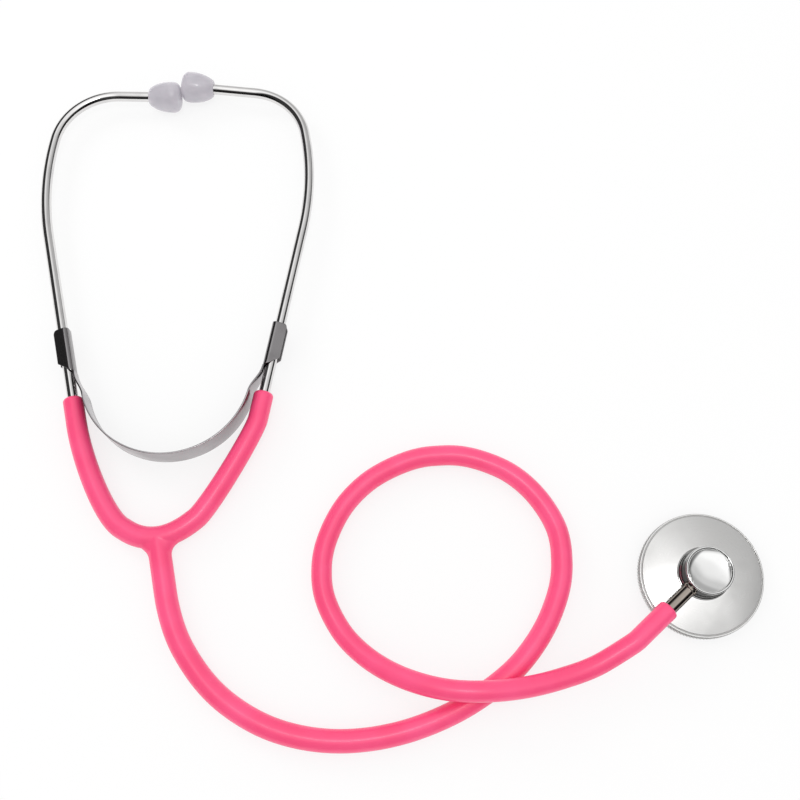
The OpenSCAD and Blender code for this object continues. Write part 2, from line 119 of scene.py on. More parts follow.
def bezier(ends: Sequence[np.ndarray], steps: int) -> np.ndarray:
    """Points along a cubic curve.

    Args:
        ends: First point, its pull, the last point's pull and the last point.
        steps: Number of steps along the curve.

    Returns:
        The points, one row each.
    """
    t = np.linspace(0.0, 1.0, steps + 1)[:, None]
    a, b, c, d = ends
    return (1 - t) ** 3 * a + 3 * t * (1 - t) ** 2 * b + 3 * t * t * (1 - t) * c + t**3 * d


def arc(centre: Sequence[float], radius: float, start: float, end: float, steps: int) -> np.ndarray:
    """Points along an arc in plan.

    Args:
        centre: Centre of the arc.
        radius: Radius of the arc.
        start: Angle of the first point, in degrees.
        end: Angle of the last point, in degrees.
        steps: Number of steps along the arc.

    Returns:
        The points, one row each.
    """
    angles = np.radians(np.linspace(start, end, steps + 1))
    return np.array(centre) + radius * np.stack([np.cos(angles), np.sin(angles)], axis=1)


def turn_left(
    start: np.ndarray, heading: float, radius: float, angle: float, steps: int
) -> np.ndarray:
    """Points along a bend to the left.

    Args:
        start: Point at which the bend starts.
        heading: Direction at the start, in degrees.
        radius: Radius of the bend.
        angle: Turn of the bend, in degrees.
        steps: Number of steps along the bend.

    Returns:
        The points, one row each.
    """
    spoke = heading - 90
    return arc(start - polar(radius, spoke), radius, spoke, spoke + angle, steps)


def eased(
    corners: Iterable[tuple[float, float, float]], closed: bool = False, steps: int = 5
) -> np.ndarray:
    """Outline through corners, each rounded over its own length.

    Args:
        corners: Two coordinates of each corner, and the length that is rounded off.
        closed: Whether the last corner is joined to the first.
        steps: Number of steps round each corner.

    Returns:
        The outline's points; a closed one ends at its first point.
    """
    table = np.array(list(corners), float)
    points, cuts = table[:, :2], table[:, 2]
    count = len(points)
    outline: list[np.ndarray] = []
    for i in range(count):
        open_end = not closed and i in (0, count - 1)
        if cuts[i] == 0 or open_end:
            outline.append(points[i])
            continue
        back, ahead = points[i - 1] - points[i], points[(i + 1) % count] - points[i]
        reach = min(cuts[i], 0.48 * np.linalg.norm(back), 0.48 * np.linalg.norm(ahead))
        start = points[i] + reach * back / np.linalg.norm(back)
        end = points[i] + reach * ahead / np.linalg.norm(ahead)
        for t in np.linspace(0.0, 1.0, steps + 1):
            outline.append((1 - t) ** 2 * start + 2 * t * (1 - t) * points[i] + t * t * end)
    if closed:
        outline.append(outline[0])
    return np.array(outline)


def mouth(radius: float, bore: float, end: float, rim: float, edge: float, steps: int) -> np.ndarray:
    """Outline of a hose's blunt end, from its round rim into its bore.

    Args:
        radius: Outer radius of the hose.
        bore: Radius of the bore.
        end: Distance of the end along the hose.
        rim: Radius of the rim's rounding.
        edge: Length that is rounded off at the bore's edge.
        steps: Number of steps round the rim.

    Returns:
        The outline's points, as [radius, distance].
    """
    floor = end - BORE_SHOWN
    lip = eased([(radius - rim, end, 0), (bore, end, edge), (bore, floor, 0)])
    return np.vstack([arc((radius - rim, end - rim), rim, 0.0, 90.0, steps), lip, [[0.0, floor]]])


class Route:
    """A line through space, measured along its length."""

    def __init__(self, points: Sequence[Sequence[float]]) -> None:
        """Measures a line.

        Args:
            points: The line's points, in order.
        """
        self.points = np.array(points, float)
        steps = np.linalg.norm(np.diff(self.points, axis=0), axis=1)
        self.along = np.concatenate([[0.0], np.cumsum(steps)])
        chords = np.gradient(self.points, self.along, axis=0)
        self.headings = chords / np.linalg.norm(chords, axis=1)[:, None]

    @classmethod
    def through(cls, points: Sequence[Sequence[float]], rounds: int) -> "Route":
        """Smooth route through points, by filling in midpoints.

        Args:
            points: Points of the route, whose first and last steps stay straight.
            rounds: How often each other step is halved.

        Returns:
            The route, with the given points on it.
        """
        line = np.array(points, float)
        for _ in range(rounds):
            middle = (9 * (line[1:-2] + line[2:-1]) - line[:-3] - line[3:]) / 16
            woven = np.empty((2 * len(middle) + 1, line.shape[1]))
            woven[::2], woven[1::2] = line[1:-1], middle
            line = np.concatenate([line[:1], woven, line[-1:]])
        return cls(line)

    @classmethod
    def straight(cls, start: Sequence[float], heading: Sequence[float], length: float) -> "Route":
        """Returns the straight route of a length from start along a heading."""
        way = np.array(heading, float) / np.linalg.norm(heading)
        return cls([np.array(start, float), np.array(start, float) + length * way])

    @property
    def length(self) -> float:
        """The route's whole length."""
        return float(self.along[-1])

    def at(self, distances: np.ndarray) -> tuple[np.ndarray, np.ndarray]:
        """Points and headings at distances along the route, run on straight past its ends.

        Args:
            distances: Distances from the route's start.

        Returns:
            The points and the unit headings, one row each.
        """
        inside = np.clip(distances, 0.0, self.length)
        place, way = (
            np.stack([np.interp(inside, self.along, column) for column in table.T], axis=1)
            for table in (self.points, self.headings)
        )
        way /= np.linalg.norm(way, axis=1)[:, None]
        return place + (distances - inside)[:, None] * way, way


# ---- Meshes


def skin(name: str, rows: np.ndarray, course: np.ndarray) -> bpy.types.Object:
    """Makes a piece from a grid of points and closes its seams and poles.

    Args:
        name: Name of the piece.
        rows: Points as rows by columns by 3.
        course: Place of each point round and along the piece, as rows by columns by 2.

    Returns:
        The piece, with its faces outwards and smooth but for its edges.
    """
    high, wide = rows.shape[:2]
    corner = np.arange(high * wide).reshape(high, wide)
    faces = np.stack([corner[:-1, :-1], corner[:-1, 1:], corner[1:, 1:], corner[1:, :-1]], axis=-1)
    mesh = bpy.data.meshes.new(name)
    mesh.from_pydata(rows.reshape(-1, 3).tolist(), [], faces.reshape(-1, 4).tolist())
    layer = mesh.uv_layers.new(name="course")
    layer.data.foreach_set("uv", course.reshape(-1, 2)[faces.reshape(-1)].astype(np.float32).ravel())
    body = bmesh.new()
    body.from_mesh(mesh)
    bmesh.ops.remove_doubles(body, verts=body.verts, dist=1e-7)
    bmesh.ops.dissolve_degenerate(body, edges=body.edges, dist=1e-8)
    bmesh.ops.recalc_face_normals(body, faces=body.faces)
    body.to_mesh(mesh)
    body.free()
    return placed(name, mesh)


def placed(name: str, mesh: bpy.types.Mesh, sharp: float = 32.0) -> bpy.types.Object:
    """Links a mesh to the scene as a piece at the origin.

    Args:
        name: Name of the piece.
        mesh: The piece's mesh, in the model's frame.
        sharp: Angle in degrees above which an edge stays sharp.

    Returns:
        The piece.
    """
    mesh.shade_smooth()
    mesh.set_sharp_from_angle(angle=math.radians(sharp))
    piece = bpy.data.objects.new(name, mesh)
    bpy.context.scene.collection.objects.link(piece)
    return piece


def turned(name: str, route: Route, outline: np.ndarray, sides: int) -> bpy.types.Object:
    """Piece that is round about a route, as if turned on a lathe.

    Args:
        name: Name of the piece.
        route: Its middle line.
        outline: Its outline, as [radius, distance along the route].
        sides: Number of facets round it.

    Returns:
        The piece.
    """
    radii, distances = outline[:, 0], outline[:, 1]
    places, ways = route.at(distances)
    upright = np.abs(ways[:, 2:]) > 0.9
    across = np.cross(np.where(upright, [[1.0, 0.0, 0.0]], [[0.0, 0.0, 1.0]]), ways)
    across /= np.linalg.norm(across, axis=1)[:, None]
    up = np.cross(ways, across)
    angles = np.linspace(-math.pi / 2, 1.5 * math.pi, sides + 1)
    angles[-1] = angles[0]
    cosines, sines = np.cos(angles)[None, :, None], np.sin(angles)[None, :, None]
    spokes = cosines * across[:, None, :] + sines * up[:, None, :]
    rows = places[:, None, :] + np.maximum(radii, 0.0)[:, None, None] * spokes
    steps = np.hypot(np.diff(radii), np.diff(distances))
    along = np.concatenate([[0.0], np.cumsum(steps)])
    course = np.stack(np.meshgrid(np.linspace(0.0, 1.0, sides + 1), along), axis=-1)
    return skin(name, rows, course)


def settled(piece: bpy.types.Object) -> bpy.types.Object:
    """Turns a piece with modifiers into a plain mesh.

    Args:
        piece: The piece, with its modifiers live.

    Returns:
        The same piece, with its modifiers' result as its mesh.
    """
    graph = bpy.context.evaluated_depsgraph_get()
    mesh = bpy.data.meshes.new_from_object(piece.evaluated_get(graph), depsgraph=graph)
    piece.modifiers.clear()
    piece.data = mesh
    mesh.name = piece.name
    return piece


# ---- Node trees


class Value:
    """An output of a node; arithmetic on it adds Math nodes."""

    def __init__(self, book: "NodeBook", socket: bpy.types.NodeSocket) -> None:
        """Wraps one output socket of the book's tree."""
        self.book = book
        self.socket = socket

    def __add__(self, other: "Value | float") -> "Value":
        """Returns the sum."""
        return self.book.math("ADD", self, other)

    __radd__ = __add__

    def __sub__(self, other: "Value | float") -> "Value":
        """Returns the difference."""
        return self.book.math("SUBTRACT", self, other)

    def __rsub__(self, other: float) -> "Value":
        """Returns a number less this value."""
        return self.book.math("SUBTRACT", other, self)

    def __mul__(self, other: "Value | float") -> "Value":
        """Returns the product."""
        return self.book.math("MULTIPLY", self, other)

    __rmul__ = __mul__

    def __truediv__(self, other: "Value | float") -> "Value":
        """Returns the quotient."""
        return self.book.math("DIVIDE", self, other)

    def __rtruediv__(self, other: float) -> "Value":
        """Returns a number divided by this value."""
        return self.book.math("DIVIDE", other, self)


class NodeBook:
    """A node tree, written one node at a time."""

    def __init__(self, tree: bpy.types.NodeTree) -> None:
        """Takes a tree and clears it."""
        self.tree = tree
        tree.nodes.clear()

    @staticmethod
    def find(sockets: Iterable[bpy.types.NodeSocket], key: str | int) -> bpy.types.NodeSocket:
        """Finds a socket of a node.

        Args:
            sockets: The node's inputs or outputs.
            key: The socket's identifier, name or number.

        Returns:
            The socket.
        """
        found = list(sockets)
        if isinstance(key, int):
            return found[key]
        return next(s for s in found if s.identifier == key or s.name == key)

    def add(
        self,
        kind: str,
        sockets: Mapping[str | int, Any] | None = None,
        output: str | int = 0,
        stops: Sequence[tuple[float, Sequence[float]]] = (),
        **settings: Any,
    ) -> Value:
        """Adds a node of any kind.

        Args:
            kind: The node's type.
            sockets: Value or link of each input, by identifier, name or number.
            output: The output that is returned, if the node has one.
            stops: Places and colours of a ramp.
            **settings: The node's own settings, which are set first.

        Returns:
            The chosen output.
        """
        node = self.tree.nodes.new(kind)
        for key, setting in settings.items():
            setattr(node, key, setting)
        if stops:
            ramp = node.color_ramp
            while len(ramp.elements) < len(stops):
                ramp.elements.new(1.0)
            for element, (place, colour) in zip(ramp.elements, stops):
                element.position = place
                element.color = (*colour, 1.0)
        for key, given in (sockets or {}).items():
            socket = self.find(node.inputs, key)
            if isinstance(given, Value):
                self.tree.links.new(given.socket, socket)
            else:
                socket.default_value = given
        return Value(self, self.find(node.outputs, output)) if node.outputs else Value(self, None)

    def outputs(self, value: Value, *names: str) -> list[Value]:
        """Returns named outputs of the node that a value comes from."""
        return [Value(self, self.find(value.socket.node.outputs, name)) for name in names]

    def math(self, operation: str, *operands: "Value | float") -> Value:
        """Returns the result of a Math node on one or more operands."""
        return self.add("ShaderNodeMath", dict(enumerate(operands)), operation=operation)

    def vector(
        self, operation: str, first: Any, second: Any = (0.0, 0.0, 0.0), output: int = 0
    ) -> Value:
        """Returns the result of a Vector Math node."""
        return self.add("ShaderNodeVectorMath", {0: first, 1: second}, output, operation=operation)

    def mixed(self, factor: "Value | float", first: Any, second: Any) -> Value:
        """Mixes two colours.

        Args:
            factor: Share of the second colour.
            first: First colour, as a value or numbers.
            second: Second colour, as a value or numbers.

        Returns:
            The mixed colour.
        """
        inputs = {"Factor_Float": factor, "A_Color": first, "B_Color": second}
        return self.add("ShaderNodeMix", inputs, "Result_Color", data_type="RGBA")

    def noise(self, place: Value, scale: float, detail: float = 2.0) -> Value:
        """Returns a noise texture's grey value, about 0.5 on average."""
        return self.add("ShaderNodeTexNoise", {"Vector": place, "Scale": scale, "Detail": detail})

    def ramp(self, value: Value, stops: Sequence[tuple[float, float]], smooth: bool = True) -> Value:
        """Reads a value off a curve.

        Args:
            value: Place on the curve, from 0 to 1.
            stops: The curve's own [place, grey level].
            smooth: Whether the curve is rounded at its stops.

        Returns:
            The curve's level there.
        """
        greys = [(place, (grey,) * 3) for place, grey in stops]
        level = self.add("ShaderNodeValToRGB", {0: value}, 0, greys)
        level.socket.node.color_ramp.interpolation = "EASE" if smooth else "LINEAR"
        return level

    def patches(self, place: Value, scale: float, detail: float, low: float, high: float) -> Value:
        """Returns soft patches: 0 where noise is under its low level, 1 over its high one."""
        return self.ramp(self.noise(place, scale, detail), [(low, 0.0), (high, 1.0)])

    def varied(self, middle: float, span: float, grey: Value) -> Value:
        """Returns a number that varies by a span about its middle, as a grey value does."""
        return middle + (grey - 0.5) * span

    def object_place(self) -> Value:
        """Returns the place on the piece, in the model's frame."""
        return self.add("ShaderNodeTexCoord", output="Object")

    def course(self, round_scale: float, along_scale: float) -> Value:
        """Returns the place round and along a turned piece, each to its own scale."""
        place = self.add("ShaderNodeUVMap", uv_map="course")
        return self.vector("MULTIPLY", place, (round_scale, along_scale, 0.0))


class Recipe(NodeBook):
    """A material in the making."""

    def __init__(self, name: str) -> None:
        """Starts an empty material.

        Args:
            name: Name of the material.
        """
        self.material = bpy.data.materials.new(name)
        self.material.use_nodes = True
        super().__init__(self.material.node_tree)

    def raised(
        self, height: Value, distance: float, strength: float = 1.0, under: Value | None = None
    ) -> Value:
        """Surface direction over small relief.

        Args:
            height: Height of the relief, from 0 to 1.
            distance: Height in metres of its full range.
            strength: Share of the relief that shows.
            under: Direction of the surface that carries it, or None for the mesh's own.

        Returns:
            The surface direction.
        """
        sockets: dict[str | int, Any] = {"Height": height, "Distance": distance, "Strength": strength}
        if under is not None:
            sockets["Normal"] = under
        return self.add("ShaderNodeBump", sockets)

    def finish(self, **sockets: Any) -> bpy.types.Material:
        """Closes the material with a Principled shader.

        Args:
            **sockets: The shader's inputs, named in lower case with underscores.

        Returns:
            The material.
        """
        names = [key.replace("_", " ").title().replace("Ior", "IOR") for key in sockets]
        shader = self.add("ShaderNodeBsdfPrincipled", dict(zip(names, sockets.values())))
        self.add("ShaderNodeOutputMaterial", {"Surface": shader})
        return self.material


# ---- Finishes


@dataclass(frozen=True)
class HoseVinyl:
    """Semi-gloss pink vinyl, as extruded: even, with faint clouds and a fine orange peel."""

    deep: Colour = (0.95, 0.064, 0.200, 1.0)
    light: Colour = (0.99, 0.084, 0.240, 1.0)
    cloud_scale: float = 60.0
    dust: Colour = (0.98, 0.62, 0.72, 1.0)
    dust_scale: float = 2600.0
    dust_share: float = 0.12
    roughness: float = 0.36
    handled_scale: float = 180.0
    handled_span: float = 0.22
    grain_scale: float = 4200.0
    grain_height: float = 0.0000012
    peel_scale: float = 620.0
    peel_height: float = 0.000009
    peel_strength: float = 0.6
    coat: float = 0.3
    coat_roughness: float = 0.22

    def material(self) -> bpy.types.Material:
        """Builds the finish.

        Returns:
            The material.
        """
        book = Recipe("hose_vinyl")
        place = book.object_place()
        tint = book.mixed(book.patches(place, self.cloud_scale, 3.0, 0.3, 0.7), self.deep, self.light)
        dusty = book.patches(place, self.dust_scale, 1.0, 0.74, 0.8)
        grain = book.raised(book.noise(place, self.grain_scale), self.grain_height)
        peel = book.noise(place, self.peel_scale)
        return book.finish(
            base_color=book.mixed(dusty * self.dust_share, tint, self.dust),
            roughness=book.varied(
                self.roughness, self.handled_span, book.noise(place, self.handled_scale, 4.0)
            ),
            normal=book.raised(peel, self.peel_height, self.peel_strength, grain),
            ior=1.52,
            coat_weight=self.coat,
            coat_roughness=self.coat_roughness,
        )


@dataclass(frozen=True)
class TipVinyl:
    """Soft grey vinyl of the ear tips: matt from its mould, lightly scattering inside, with a painted
    glow in its own colour that lifts the shade where the tips meet.
    """

    shade: Colour = (0.345, 0.332, 0.362, 1.0)
    light: Colour = (0.375, 0.357, 0.388, 1.0)
    cloud_scale: float = 210.0
    # Strength of the painted glow that lifts the shade between the tips
    glow: float = 0.45
    light_reach: tuple[float, float, float] = (0.0042, 0.0036, 0.0038)
    roughness: float = 0.42
    rough_scale: float = 700.0
    rough_span: float = 0.2
    frost_scale: float = 2600.0
    frost_height: float = 0.000006
    fold_scale: float = 420.0
    fold_height: float = 0.00002
    fold_strength: float = 0.5
    coat: float = 0.55
    coat_roughness: float = 0.13

    def material(self) -> bpy.types.Material:
        """Builds the finish.

        Returns:
            The material.
        """
        book = Recipe("ear_tip_vinyl")
        place = book.object_place()
        cloud = book.patches(place, self.cloud_scale, 3.0, 0.32, 0.68)
        colour = book.mixed(cloud, self.shade, self.light)
        frost = book.raised(book.noise(place, self.frost_scale, 3.0), self.frost_height)
        folds = book.noise(place, self.fold_scale)
        return book.finish(
            base_color=colour,
            roughness=book.varied(
                self.roughness, self.rough_span, book.noise(place, self.rough_scale, 3.0)
            ),
            normal=book.raised(folds, self.fold_height, self.fold_strength, frost),
            ior=1.5,
            coat_weight=self.coat,
            coat_roughness=self.coat_roughness,
            coat_ior=1.6,
            subsurface_weight=1.0,
            subsurface_radius=self.light_reach,
            subsurface_scale=1.0,
            # Painted glow: the tips give off light in their own colour, lifting the shade where they
            # meet
            emission_color=colour,
            emission_strength=self.glow,
        )


@dataclass(frozen=True)
class PlatedSteel:
    """Bright plating: mirror-like, with faint polishing lines, the haze of handling and, where a band
    is given, painted shade from the foot up.
    """

    name: str = "tube_chrome"
    lines: Lines = Lines.ALONG
    colour: Colour = (0.78, 0.77, 0.765, 1.0)
    hazed: Colour = (0.70, 0.69, 0.69, 1.0)
    haze_scale: float = 120.0
    haze_rise: float = 0.07
    roughness: float = 0.07
    line_span: float = 0.05
    line_height: float = 0.0000012
    # Heights between which painted shade darkens the foot, and the shade's colour and share
    painted_shade_band: tuple[float, float] | None = None
    painted_shade: Colour = (0.24, 0.235, 0.23, 1.0)
    painted_shade_share: float = 0.8

    def material(self) -> bpy.types.Material:
        """Builds the finish.

        Returns:
            The material.
        """
        book = Recipe(self.name)
        place = book.object_place()
        haze = book.patches(place, self.haze_scale, 5.0, 0.42, 0.72)
        marks = book.noise(book.course(*self.lines.value), 1.0, 3.0)
        colour = book.mixed(haze, self.colour, self.hazed)
        if self.painted_shade_band:
            # Painted shade on the hub's wall: darker from the foot up to below the top
            foot, unshaded = self.painted_shade_band
            height = book.add("ShaderNodeSeparateXYZ", {0: place}, "Z")
            share = 1.0 - book.ramp((height - foot) / (unshaded - foot), [(0.0, 0.0), (1.0, 1.0)])
            colour = book.mixed(share * self.painted_shade_share, colour, self.painted_shade)
        return book.finish(
            base_color=colour,
            metallic=1.0,
            roughness=book.varied(self.roughness, self.line_span, marks) + haze * self.haze_rise,
            normal=book.raised(marks, self.line_height),
        )


@dataclass(frozen=True)
class RolledSteel:
    """Satin spring strip with rolling marks along it and a faint bloom."""

    name: str = "spring_steel"
    colour: Colour = (0.43, 0.41, 0.42, 1.0)
    bloom: Colour = (0.38, 0.36, 0.37, 1.0)
    bloom_scale: float = 95.0
    bloom_rise: float = 0.08
    roughness: float = 0.17
    mark_density: tuple[float, float] = (240.0, 28.0)
    mark_span: float = 0.12
    mark_height: float = 0.0000022

    def material(self) -> bpy.types.Material:
        """Builds the finish.

        Returns:
            The material.
        """
        book = Recipe(self.name)
        bloom = book.patches(book.object_place(), self.bloom_scale, 4.0, 0.4, 0.7)
        marks = book.noise(book.course(*self.mark_density), 1.0, 4.0)
        return book.finish(
            base_color=book.mixed(bloom, self.colour, self.bloom),
            metallic=1.0,
            roughness=book.varied(self.roughness, self.mark_span, marks) + bloom * self.bloom_rise,
            normal=book.raised(marks, self.mark_height),
        )


@dataclass(frozen=True)
class TurnedAluminium:
    """Lathe-turned aluminium: fine rings about the axis, a little oxide between them, and painted
    shade in the rim's groove and at the knurl's root.
    """

    colour: Colour = (0.84, 0.835, 0.825, 1.0)
    oxide: Colour = (0.74, 0.735, 0.725, 1.0)
    hair_oxide: float = 0.35
    cloud_oxide: float = 0.3
    cloud_scale: float = 160.0
    roughness: float = 0.29
    hair_span: float = 0.14
    cloud_rise: float = 0.05
    pitch: float = 0.00042
    drift_scale: float = 90.0
    drift: float = 0.0001
    hair_scale: float = 9000.0
    cut_share: float = 0.55
    groove_height: float = 0.0000036
    # Rings of the rim's groove and the knurl's root, and the painted shade laid in them
    rim_groove: tuple[float, float] = (0.0211, 0.0215)
    knurl_root: tuple[float, float] = (0.0219, 0.02215)
    painted_groove_shade: Colour = (0.30, 0.295, 0.29, 1.0)
    painted_groove_shade_share: float = 0.7

    def material(self) -> bpy.types.Material:
        """Builds the finish.

        Returns:
            The material.
        """
        book = Recipe("chest_aluminium")
        place = book.object_place()
        flat_place = book.vector("MULTIPLY", place, (1.0, 1.0, 0.0))
        reach = book.vector("LENGTH", flat_place, output=1)
        drift = (book.noise(flat_place, self.drift_scale, 3.0) - 0.5) * self.drift
        wave = book.math("SINE", (reach + drift) * (2 * math.pi / self.pitch))
        hair = book.noise(book.add("ShaderNodeCombineXYZ", {"X": reach * self.hair_scale}), 1.0, 3.0)
        rings = (wave * 0.5 + 0.5) * self.cut_share + hair * (1 - self.cut_share)
        cloud = book.patches(place, self.cloud_scale, 5.0, 0.45, 0.75)
        # Painted shade in the rim's groove and at the knurl's root
        painted_groove_mask = sum(
            book.math("COMPARE", reach, (inner + outer) / 2, (outer - inner) / 2)
            for inner, outer in (self.rim_groove, self.knurl_root)
        )
        oxidised = hair * self.hair_oxide + cloud * self.cloud_oxide
        unshaded = book.mixed(oxidised, self.colour, self.oxide)
        return book.finish(
            base_color=book.mixed(painted_groove_mask * self.painted_groove_shade_share, unshaded, self.painted_groove_shade),
            metallic=1.0,
            roughness=book.varied(self.roughness, self.hair_span, hair) + cloud * self.cloud_rise,
            normal=book.raised(rings, self.groove_height),
        )


@dataclass(frozen=True)
class SheetPlastic:
    """Stiff white sheet of the diaphragm, lightly rubbed."""

    colour: Colour = (0.80, 0.81, 0.83, 1.0)
    rubbed: Colour = (0.70, 0.71, 0.73, 1.0)
    rub_scale: float = 260.0
    rub_rise: float = 0.2
    roughness: float = 0.3
    grain_scale: float = 1500.0
    grain_height: float = 0.000003

    def material(self) -> bpy.types.Material:
        """Builds the finish.

        Returns:
            The material.
        """
        book = Recipe("diaphragm_plastic")
        place = book.object_place()
        rub = book.patches(place, self.rub_scale, 6.0, 0.5, 0.8)
        return book.finish(
            base_color=book.mixed(rub, self.colour, self.rubbed),
            roughness=self.roughness + rub * self.rub_rise,
            normal=book.raised(book.noise(place, self.grain_scale, 3.0), self.grain_height),
        )


HUB_CHROME = PlatedSteel(
    "hub_chrome",
    Lines.ROUND,
    colour=(0.76, 0.76, 0.755, 1.0),
    hazed=(0.69, 0.69, 0.685, 1.0),
    # Painted shade on the hub's wall, from its foot up to below the bead
    painted_shade_band=(0.0068, 0.0122),
)
STEM_NICKEL = PlatedSteel(
    "stem_nickel", colour=(0.33, 0.29, 0.255, 1.0), hazed=(0.28, 0.245, 0.215, 1.0)
)
# Painted shade: a darker copy of the spring steel, for the two clips
SHADED_CLIP_STEEL = RolledSteel(
    "shaded_clip_steel", colour=(0.30, 0.29, 0.295, 1.0), bloom=(0.25, 0.24, 0.245, 1.0)
)

Finishes = Mapping[Slot, bpy.types.Material]


def dressed(piece: bpy.types.Object, slot: Slot, finishes: Finishes) -> bpy.types.Object:
    """Gives a piece its finish.

    Args:
        piece: The piece.
        slot: The record's material slot that it takes its finish from.
        finishes: Material of each slot.

    Returns:
        The same piece.
    """
    piece.data.materials.clear()
    piece.data.materials.append(finishes[slot])
    LOG.info("%s: %d faces", piece.name, len(piece.data.polygons))
    return piece


# ---- Studio


@dataclass
class Studio:
    """Pale floor, soft light and the camera at the photograph's angle.

    The stops shape what metal mirrors, each over one direction of the world from 0 to 1.
    """

    camera_at: tuple[float, float, float] = (-0.1092, -0.0523, 0.3613)
    looks_at: tuple[float, float, float] = (-0.1052, 0.0706, 0.0)
    lens: float = 45.0
    sensor: float = 36.0
    floor_half: float = 2.5
    floor_z: float = -0.00002
    floor_colour: Colour = (0.93, 0.93, 0.93, 1.0)
    seen_white: float = 0.78
    mirrored_white: float = 0.6
    sky: float = 0.93
    soft_box: float = 1.3
    box_end: float = 1.5
    box_span: float = 3.0
    box_lean: float = 0.8
    stand_lean: float = 0.35
    ceiling: Stops = ((0.20, 0.40), (0.263, 0.60), (0.30, 0.60), (0.39, 0.86), (0.47, 1.0))
    width: Stops = ((0.30, 0.03), (0.405, 1.0), (0.85, 1.0), (0.92, 0.3), (1.0, 0.25))
    depth: Stops = ((0.0, 0.03), (0.2, 0.05), (0.26, 0.12), (0.30, 0.75), (0.35, 1.0))
    stand: Stops = ((0.835, 1.0), (0.90, 0.25), (1.0, 0.05))
    key_at: tuple[float, float, float] = (-0.80, 0.69, 0.50)
    key_size: float = 0.30
    key_power: float = 1.5
    top_at: tuple[float, float, float] = (-0.14, -0.02, 1.0)
    top_size: float = 0.18
    top_power: float = 0.9

    def stood(
        self, data: bpy.types.Camera | bpy.types.Light, at: tuple[float, float, float]
    ) -> bpy.types.Object:
        """Stands a camera or a lamp at a place, facing the object.

        Args:
            data: The camera or the lamp.
            at: Its place.

        Returns:
            Its object.
        """
        thing = bpy.data.objects.new(data.name, data)
        thing.location = at
        way = Vector(self.looks_at) - Vector(at)
        thing.rotation_euler = way.to_track_quat("-Z", "Y").to_euler()
        bpy.context.scene.collection.objects.link(thing)
        return thing

    def camera(self) -> None:
        """Sets up the scene's camera."""
        data = bpy.data.cameras.new("camera")
        data.lens, data.sensor_width = self.lens, self.sensor
        data.clip_start, data.clip_end = 0.01, 20.0
        bpy.context.scene.camera = self.stood(data, self.camera_at)

    def floor(self) -> None:
        """Lays the floor, white to the camera but for the object's shadow."""
        h, z = self.floor_half, self.floor_z
        mesh = bpy.data.meshes.new("floor")
        mesh.from_pydata([(-h, -h, z), (h, -h, z), (h, h, z), (-h, h, z)], [], [(0, 1, 2, 3)])
        book = Recipe("floor")
        seen, glossy, through = book.outputs(
            book.add("ShaderNodeLightPath"), "Is Camera Ray", "Is Glossy Ray", "Is Transmission Ray"
        )
        paper = book.add("ShaderNodeBsdfDiffuse", {"Color": self.floor_colour})
        glow = book.add("ShaderNodeEmission", {"Color": WHITE, "Strength": 1.0})
        share = seen * self.seen_white + glossy * self.mirrored_white + through * self.seen_white
        surface = book.add("ShaderNodeMixShader", {0: share, 1: paper, 2: glow})
        book.add("ShaderNodeOutputMaterial", {"Surface": surface})
        mesh.materials.append(book.material)
        floor = bpy.data.objects.new("floor", mesh)
        bpy.context.scene.collection.objects.link(floor)

    def lamp(
        self, name: str, at: tuple[float, float, float], size: float, power: float, mirrored: bool
    ) -> None:
        """Stands a square soft lamp.

        Args:
            name: Name of the lamp.
            at: Its place.
            size: Length of its side.
            power: Its power in watts.
            mirrored: Whether glossy surfaces mirror it.
        """
        data = bpy.data.lights.new(name, "AREA")
        data.shape, data.size, data.energy = "SQUARE", size, power
        self.stood(data, at).visible_glossy = mirrored

    def surroundings(self) -> None:
        """Fills the world: even light, and a studio with dark sides for metal to mirror."""
        world = bpy.data.worlds.new("studio")
        bpy.context.scene.world = world
        world.use_nodes = True
        book = NodeBook(world.node_tree)
        way = book.add("ShaderNodeTexCoord", output="Generated")
        side, back = book.outputs(book.add("ShaderNodeSeparateXYZ", {0: way}), "X", "Y")
        # A wide soft box overhead and to the left of a paler ceiling
        box = book.ramp((self.box_end - side * self.box_lean - back) / self.box_span, self.ceiling)
        # Dark past its left edge, half dark low on the right
        width = book.ramp(side * 0.5 + 0.5, self.width)
        # Dark towards the camera's side
        depth = book.ramp(back * 0.5 + 0.5, self.depth, smooth=False)
        # A dark stand low on the right, on the camera's side
        stand = book.ramp(side * 0.5 - back * self.stand_lean + 0.5, self.stand)
        mirrored, even, white = (
            book.add("ShaderNodeBackground", {"Color": WHITE, "Strength": strength})
            for strength in (box * width * depth * stand * self.soft_box, self.sky, 1.0)
        )
        seen, glossy = book.outputs(
            book.add("ShaderNodeLightPath"), "Is Camera Ray", "Is Glossy Ray"
        )
        lit = book.add("ShaderNodeMixShader", {0: glossy, 1: even, 2: mirrored})
        shown = book.add("ShaderNodeMixShader", {0: seen, 1: lit, 2: white})
        book.add("ShaderNodeOutputWorld", {"Surface": shown})

    def build(self) -> None:
        """Sets up the studio."""
        self.camera()
        self.floor()
        self.lamp("key_lamp", self.key_at, self.key_size, self.key_power, mirrored=False)
        self.lamp("top_lamp", self.top_at, self.top_size, self.top_power, mirrored=True)
        self.surroundings()
        bpy.context.scene.view_settings.view_transform = "Standard"


# ---- Hose


